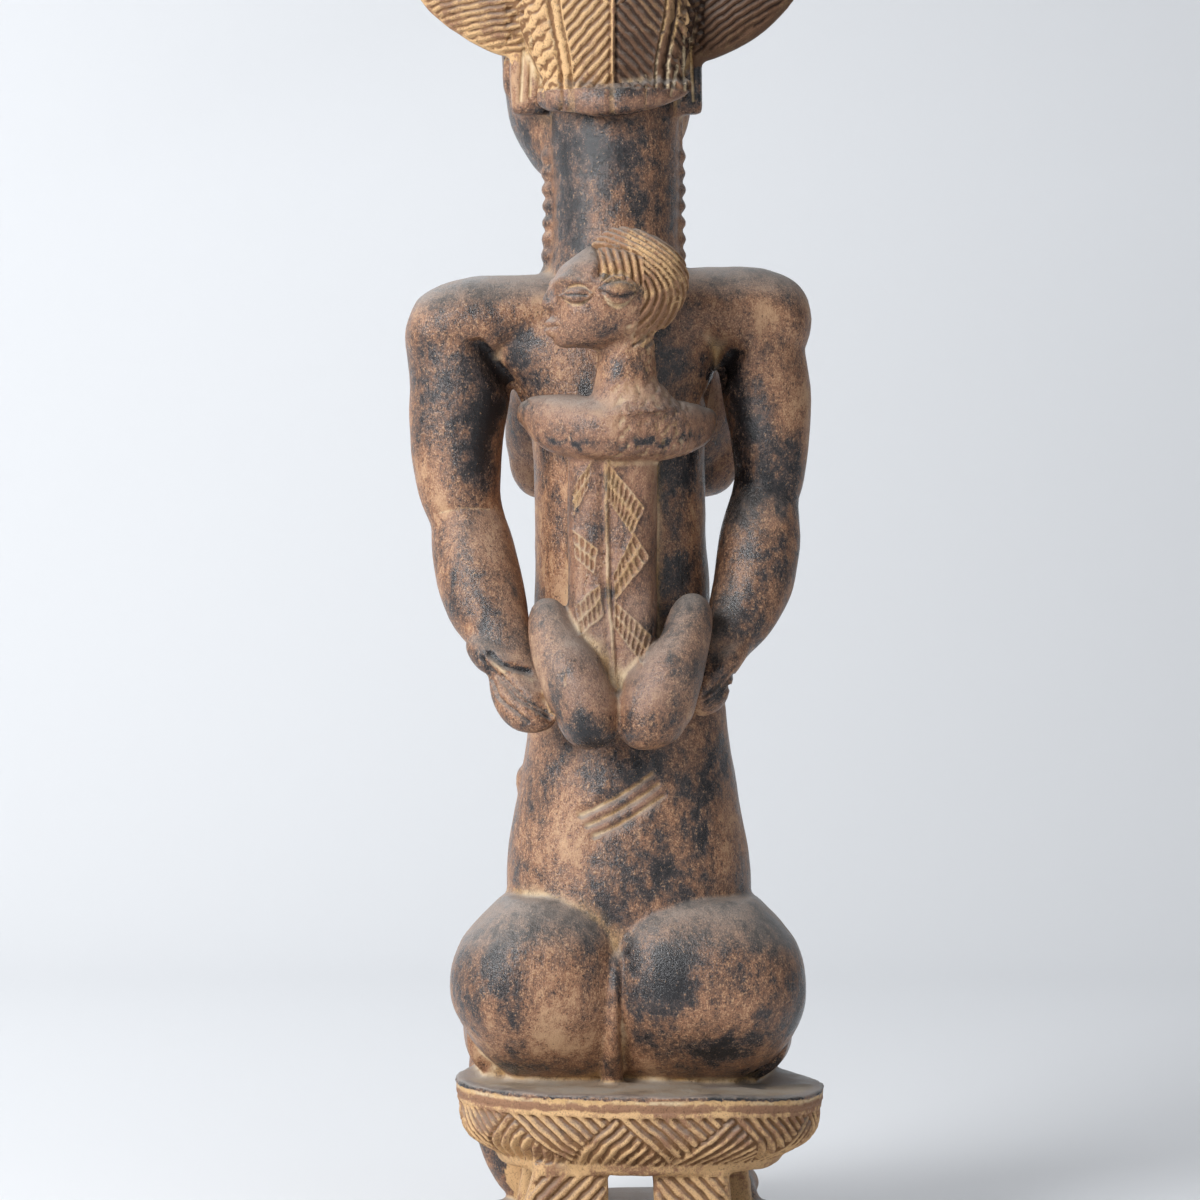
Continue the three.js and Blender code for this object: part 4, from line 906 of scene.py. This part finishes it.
def split_marked(points, triangles, marked):
    """Each marked triangle is cut in four at the middles of its edges, and its neighbours to fit."""
    edges, which = edges_of(triangles)
    cut = np.zeros(len(edges), bool)
    cut[which[marked].ravel()] = True
    middle = np.full(len(edges), -1)
    middle[cut] = len(points) + np.arange(cut.sum())
    points = np.concatenate([points, points[edges[cut]].mean(axis=1)])
    pattern = cut[which] @ np.array([1, 2, 4])
    made = [triangles[pattern == 0]]
    # triangles are turned so that the first edge is cut, and of two cut edges both come first
    for code, turn in ((1, 0), (2, 1), (4, 2), (3, 0), (6, 1), (5, 2), (7, 0)):
        (a, b, c), (m, n, o) = (np.roll(rows[pattern == code], -turn, axis=1).T
                                for rows in (triangles, middle[which]))
        if code in (1, 2, 4):
            corners = ((a, m, c), (m, b, c))
        elif code == 7:
            corners = ((a, m, o), (m, b, n), (o, n, c), (m, n, o))
        else:
            corners = ((m, b, n), (a, m, n), (a, n, c))
        made += [np.stack(three, 1) for three in corners]
    return points, np.concatenate(made)


def knife_work(places, normal):
    """The depth and tone of all cuts added up, and the largest share of clay, carved wood, plum and dust."""
    total = {name: np.zeros(len(places)) for name in ("depth", "clay", "carved", "plum", "tone", "dust")}
    for cut in cuts:
        for name, value in cut(places, normal).items():
            add = name in ("depth", "tone")
            total[name] = total[name] + value if add else np.maximum(total[name], value)
    for *place, far, tone in WORN_AND_SHADED:
        total["tone"] += tone * np.exp(-((places - place) ** 2).sum(axis=1) / far**2)
    return total


centres = points[triangles].mean(axis=1)
radius, _ = on_seat(centres[:, 0], centres[:, 1])
fine = np.logical_or.reduce([within(centres, low, high) for low, high in fine_places])
fine &= ~((centres[:, 2] > SEAT_UNDER) & (centres[:, 2] < SEAT_TOP + 3) & (radius < RIM_INNER))
points, triangles = split_marked(points, triangles, fine)
edges, _ = edges_of(triangles)
for _ in range(2):
    points = points + 0.5 * (neighbour_mean(points, edges) - points)
normal = normals_of(points, triangles)
depth = knife_work(points, normal)["depth"]
depth += sum(height * wander(points, length, seed) for height, length, seed in TOOL_MARKS)
points = points - normal * depth[:, None]
points[:, 2] = np.maximum(points[:, 2], 0.0)

# The finished surface: thinned where the wood is smooth, so that the triangles
# stay in the carving, and given the shares of colours that its places have.
TRIANGLE_BUDGET = 196000


def nearest_cell(values, places, wanted, cell=3.0):
    """Values carried from places to the wanted places: the mean over each cube of the cell's size."""
    many, shift = 4096, 1000
    keys = [(np.floor(p / cell).astype(np.int64) + shift) @ np.array([many * many, many, 1])
            for p in (places, wanted)]
    known, which = np.unique(keys[0], return_inverse=True)
    mean = np.bincount(which, values) / np.bincount(which)
    spot = np.clip(np.searchsorted(known, keys[1]), 0, len(known) - 1)
    return np.where(known[spot] == keys[1], mean[spot], 0.0)


points, triangles = through_modifier(points, triangles, "DECIMATE", ratio=TRIANGLE_BUDGET / len(triangles))
edges, _ = edges_of(triangles)
carved_normal = normals_of(points, triangles)
normal = carved_normal
for _ in range(8):
    normal = neighbour_mean(normal, edges)
normal /= np.linalg.norm(normal, axis=1, keepdims=True)
worked = knife_work(points, normal)
hollow = nearest_cell(base_hollow, base_points, points)
for _ in range(3):
    hollow = neighbour_mean(hollow, edges)

PIECE = "mother_and_child_carving"
carving = bpy.data.objects.new(PIECE, mesh_from(PIECE, points, triangles))
bpy.context.scene.collection.objects.link(carving)
carving.data.polygons.foreach_set("use_smooth", np.ones(len(triangles), bool))
worked["dust"] = np.maximum(worked["dust"], ramp(carved_normal[:, 2], 0.15, 0.95))
for name, values in [*worked.items(), ("hollow", hollow)]:
    layer = carving.data.attributes.new(name, "FLOAT", "POINT")
    layer.data.foreach_set("value", np.asarray(values, np.float32))

# Wood: a dark oil patina, worn to red-brown in fine speckles, dusty on top,
# with pale ochre clay left in every cut and crease, and painted shade in hollows and cuts and on the side
# away from the key lamp.
wood = bpy.data.materials.new("patinated_wood")
wood.use_nodes = True
tree = wood.node_tree
tree.nodes.clear()


def put(kind, inputs=(), **settings):
    """A shader node with its settings, and its inputs given as values or as other nodes' outputs."""
    made = tree.nodes.new(kind)
    for name, value in settings.items():
        setattr(made, name, value)
    for name, value in dict(inputs).items():
        if isinstance(value, bpy.types.NodeSocket):
            tree.links.new(value, made.inputs[name])
        else:
            made.inputs[name].default_value = value
    return made


def stretch(value, low, high, to_low=0.0, to_high=1.0):
    """A value carried smoothly from low..high to to_low..to_high."""
    return put("ShaderNodeMapRange", {0: value, 1: low, 2: high, 3: to_low, 4: to_high},
               interpolation_type="SMOOTHSTEP").outputs[0]


def mix_colour(share, first, second):
    """The first colour where share is 0, the second where it is 1."""
    first, second = ((*c, 1.0) if isinstance(c, tuple) else c for c in (first, second))
    return put("ShaderNodeMix", {0: share, 6: first, 7: second}, data_type="RGBA").outputs[2]


def work_out(operation, first, second=0.0):
    """One step of arithmetic."""
    return put("ShaderNodeMath", {0: first, 1: second}, operation=operation).outputs[0]


def weigh(*pairs):
    """The sum of values, each times its weight."""
    total = work_out("MULTIPLY", *pairs[0])
    for value, weight in pairs[1:]:
        total = work_out("ADD", total, work_out("MULTIPLY", value, weight))
    return total


def surface_value(name):
    """One of the values kept on the vertices."""
    return put("ShaderNodeAttribute", attribute_name=name).outputs["Fac"]


def noise(scale, detail=4.0, roughness=0.55, squash=(1.0, 1.0, 1.0)):
    """Noise on the object's own coordinates, in cycles per metre; a squash below 1 draws it out."""
    place = put("ShaderNodeMapping", {"Vector": coordinates, "Scale": squash}).outputs[0]
    return put("ShaderNodeTexNoise", {"Vector": place, "Scale": scale, "Detail": detail,
                                      "Roughness": roughness}).outputs["Fac"]


coordinates = put("ShaderNodeTexCoord").outputs["Object"]
BLACK_OIL = (0.012, 0.011, 0.0125)
SMOKED_BROWN = (0.062, 0.045, 0.041)
BROWN = (0.155, 0.079, 0.048)
ORANGE_BROWN = (0.262, 0.122, 0.064)
TAN = (0.47, 0.28, 0.155)
PLUM_BROWN = (0.20, 0.105, 0.075)
OCHRE_WOOD = (0.64, 0.405, 0.205)
PLUM_WOOD = (0.25, 0.125, 0.080)
SHADED_WARM_DARK = (0.085, 0.043, 0.024)
CUT_SHADE_BROWN = (0.22, 0.115, 0.055)
SHADE_AND_FLECK_BLACK = (0.040, 0.020, 0.012)
OCHRE_CLAY = (0.56, 0.36, 0.165)
PALE_CLAY = (0.68, 0.53, 0.34)
GREY_DUST = (0.32, 0.285, 0.255)


def shaded(value, *stops):
    """A colour ramp: each stop's colour where the value is at its place, blended between two."""
    made = put("ShaderNodeValToRGB", {"Fac": value})
    ramp_stops = made.color_ramp.elements
    while len(ramp_stops) < len(stops):
        ramp_stops.new(0.5)
    for stop, (place, colour) in zip(ramp_stops, stops):
        stop.position, stop.color = place, (*colour, 1.0)
    return made.outputs["Color"]


broad = noise(9.0, 2.0, 0.5, (1.0, 1.0, 0.6))
patch = noise(34.0, 4.0, 0.6, (1.0, 1.0, 0.7))
mottle = noise(150.0, 4.0, 0.65, (1.0, 1.0, 0.8))
fleck = noise(420.0, 3.0, 0.7, (1.0, 1.0, 0.8))
speckle = noise(1050.0, 2.0, 0.75, (1.0, 1.0, 0.8))
grain = noise(300.0, 3.0, 0.6, (1.0, 1.0, 0.1))

hollow_here = surface_value("hollow")
depth_here = surface_value("depth")
clay_here = surface_value("clay")
carved_here = surface_value("carved")
plum_here = surface_value("plum")
tone_here = surface_value("tone")
dust_here = surface_value("dust")

# the oil: thick and black where it was never rubbed, worn to brown in patches, with flecks through it; tone
# darkens or lightens it, partly as patches of oil and wear, partly as painted shade in hollows, notches and
# slits and on the shaded side
in_hollow = stretch(hollow_here, -0.6, 1.6)
wear_and_shade = weigh((broad, 0.9), (patch, 1.6), (mottle, 0.9), (in_hollow, 0.14), (tone_here, 0.5))
wear_and_shade = work_out("SUBTRACT", wear_and_shade, 1.17)
body = shaded(wear_and_shade, (0.12, BLACK_OIL), (0.30, SMOKED_BROWN), (0.46, BROWN), (0.70, ORANGE_BROWN), (1.0, TAN))
flecks = weigh((speckle, 0.6), (fleck, 0.4))
wear_and_shade_flecks = work_out("ADD", flecks, work_out("MULTIPLY", wear_and_shade, 0.16))
body = mix_colour(stretch(wear_and_shade_flecks, 0.60, 0.72, 0.0, 0.85), body, TAN)
body = mix_colour(stretch(wear_and_shade_flecks, 0.58, 0.47, 0.0, 0.85), body, BLACK_OIL)
body = mix_colour(work_out("MULTIPLY", plum_here, stretch(wear_and_shade, 0.2, 0.7, 0.0, 0.6)), body, PLUM_BROWN)

# carved wood: ochre ridges rubbed to plum in patches, dark in the cuts, where the dark is partly the wood's
# own colour and partly painted shade
groove = stretch(depth_here, 0.5, 1.6)
rubbed = weigh((patch, 0.5), (mottle, 0.3), (fleck, 0.3), (plum_here, 0.12), (tone_here, -0.08))
rubbed = stretch(rubbed, 0.52, 0.64)
ridge = mix_colour(work_out("MULTIPLY", rubbed, 0.85), OCHRE_WOOD, PLUM_WOOD)
# painted shade: where tone falls, as on the shaded half of the shield and the leaf on her right, the ridges
# go warm dark
ridge = mix_colour(stretch(tone_here, 0.0, -0.8, 0.0, 0.85), ridge, SHADED_WARM_DARK)
# the colour in the cuts: partly the wood's own dark brown, partly painted shade, blacker where tone falls
cut_shade_colour = mix_colour(stretch(weigh((mottle, 0.7), (tone_here, 0.5)), 0.12, 0.36), SHADE_AND_FLECK_BLACK, CUT_SHADE_BROWN)
carved_colour = mix_colour(groove, ridge, cut_shade_colour)
carved_colour = mix_colour(stretch(flecks, 0.48, 0.38, 0.0, 0.5), carved_colour, SHADE_AND_FLECK_BLACK)
carved_share = stretch(carved_here, 0.3, 0.7)
body = mix_colour(carved_share, body, carved_colour)

# clay held in cuts and creases, and grey dust on what faces up
lying = stretch(weigh((patch, 0.35), (mottle, 0.35), (speckle, 0.3)), 0.38, 0.56, 0.25, 1.0)
settled = work_out("MULTIPLY", stretch(clay_here, 0.1, 0.8), lying)
creased = work_out("MULTIPLY", stretch(hollow_here, 0.45, 1.7), work_out("MULTIPLY", lying, 0.95))
held = work_out("MAXIMUM", settled, creased)
body = mix_colour(held, body, mix_colour(stretch(patch, 0.42, 0.60), OCHRE_CLAY, PALE_CLAY))
powder = stretch(weigh((patch, 0.4), (mottle, 0.3), (speckle, 0.3)), 0.36, 0.60, 0.35, 0.85)
dusty = work_out("MULTIPLY", dust_here, powder)
body = mix_colour(dusty, body, GREY_DUST)

rough = weigh((stretch(wear_and_shade, 0.2, 0.9, 0.25, 0.46), 1.0), (carved_share, 0.25), (held, 0.25), (dusty, 0.2))
relief = weigh((speckle, 0.5), (fleck, 0.4), (mottle, 0.3), (grain, 0.3))
bump = put("ShaderNodeBump", {"Height": relief, "Strength": 0.8, "Distance": 0.0011})
finish = put("ShaderNodeBsdfPrincipled", {
    "Base Color": body, "Roughness": rough, "Normal": bump.outputs[0],
    "Specular IOR Level": stretch(work_out("MAXIMUM", carved_share, held), 0.0, 1.0, 0.50, 0.15)})
put("ShaderNodeOutputMaterial", {"Surface": finish.outputs[0]})

carving.data.materials.append(wood)
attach(carving, "root")
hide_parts("mother_and_child")

# Studio: a pale paper floor that sweeps up behind the carving, one large soft
# lamp high at her left, and weaker ones all round.
SWEEP_NEAR, SWEEP_FAR, SWEEP_RADIUS = 3200.0, -1500.0, 900.0
SWEEP_HIGH, SWEEP_HALF = 3800.0, 4000.0
PAPER_WHITE = (0.81, 0.82, 0.838)
DAYLIGHT, SKY, SKY_STRENGTH = (0.97, 0.985, 1.0), (0.86, 0.90, 0.95), 0.20
bend = np.linspace(0.0, np.pi / 2, 24)
profile = np.concatenate([
    [[SWEEP_NEAR, 0.0]],
    np.stack([SWEEP_FAR - SWEEP_RADIUS * np.sin(bend), SWEEP_RADIUS * (1 - np.cos(bend))], axis=1),
    [[SWEEP_FAR - SWEEP_RADIUS, SWEEP_HIGH]],
])
sheet = np.stack([np.tile([-SWEEP_HALF, SWEEP_HALF], (len(profile), 1)), np.repeat(profile[:, :1], 2, 1),
                  np.repeat(profile[:, 1:], 2, 1)], axis=-1)
cells = np.arange(len(profile) * 2).reshape(-1, 2)
quads = np.stack([cells[:-1, 0], cells[:-1, 1], cells[1:, 1], cells[1:, 0]], axis=1)
floor = bpy.data.objects.new("studio_sweep", mesh_from("studio_sweep", sheet.reshape(-1, 3), quads))
floor.data.polygons.foreach_set("use_smooth", np.ones(len(floor.data.polygons), bool))
paper = bpy.data.materials.new("studio_paper")
paper.use_nodes = True
coat = paper.node_tree.nodes["Principled BSDF"]
coat.inputs["Base Color"].default_value = (*PAPER_WHITE, 1.0)
coat.inputs["Roughness"].default_value = 0.9
floor.data.materials.append(paper)
bpy.context.scene.collection.objects.link(floor)

lamps = (  # name, place, size of the soft box, watts, aim
    ("key", (1700, 1900, 1500), 1200, 86, (20, 0, 480)),
    ("fill", (-1500, 2000, 1100), 1800, 10, (20, 0, 480)),
    ("front", (600, -1300, 2000), 1600, 10, (20, 0, 600)),
    ("backdrop", (2300, -500, 1500), 1600, 30, (1000, -2000, 600)),
)
for name, place, size, power, aim in lamps:
    lamp = bpy.data.lights.new(name, "AREA")
    lamp.shape = "SQUARE"
    lamp.size = size * MM
    lamp.energy = power
    lamp.color = DAYLIGHT
    holder = bpy.data.objects.new(name, lamp)
    away = np.asarray(place, float) - np.asarray(aim, float)
    holder.location = [value * MM for value in place]
    holder.rotation_euler = (math.atan2(math.hypot(away[0], away[1]), away[2]), 0.0,
                             math.atan2(away[0], -away[1]))
    bpy.context.scene.collection.objects.link(holder)

world = bpy.data.worlds.new("studio")
bpy.context.scene.world = world
world.use_nodes = True
world.node_tree.nodes["Background"].inputs[0].default_value = (*SKY, 1.0)
world.node_tree.nodes["Background"].inputs[1].default_value = SKY_STRENGTH
bpy.context.scene.view_settings.view_transform = "Standard"
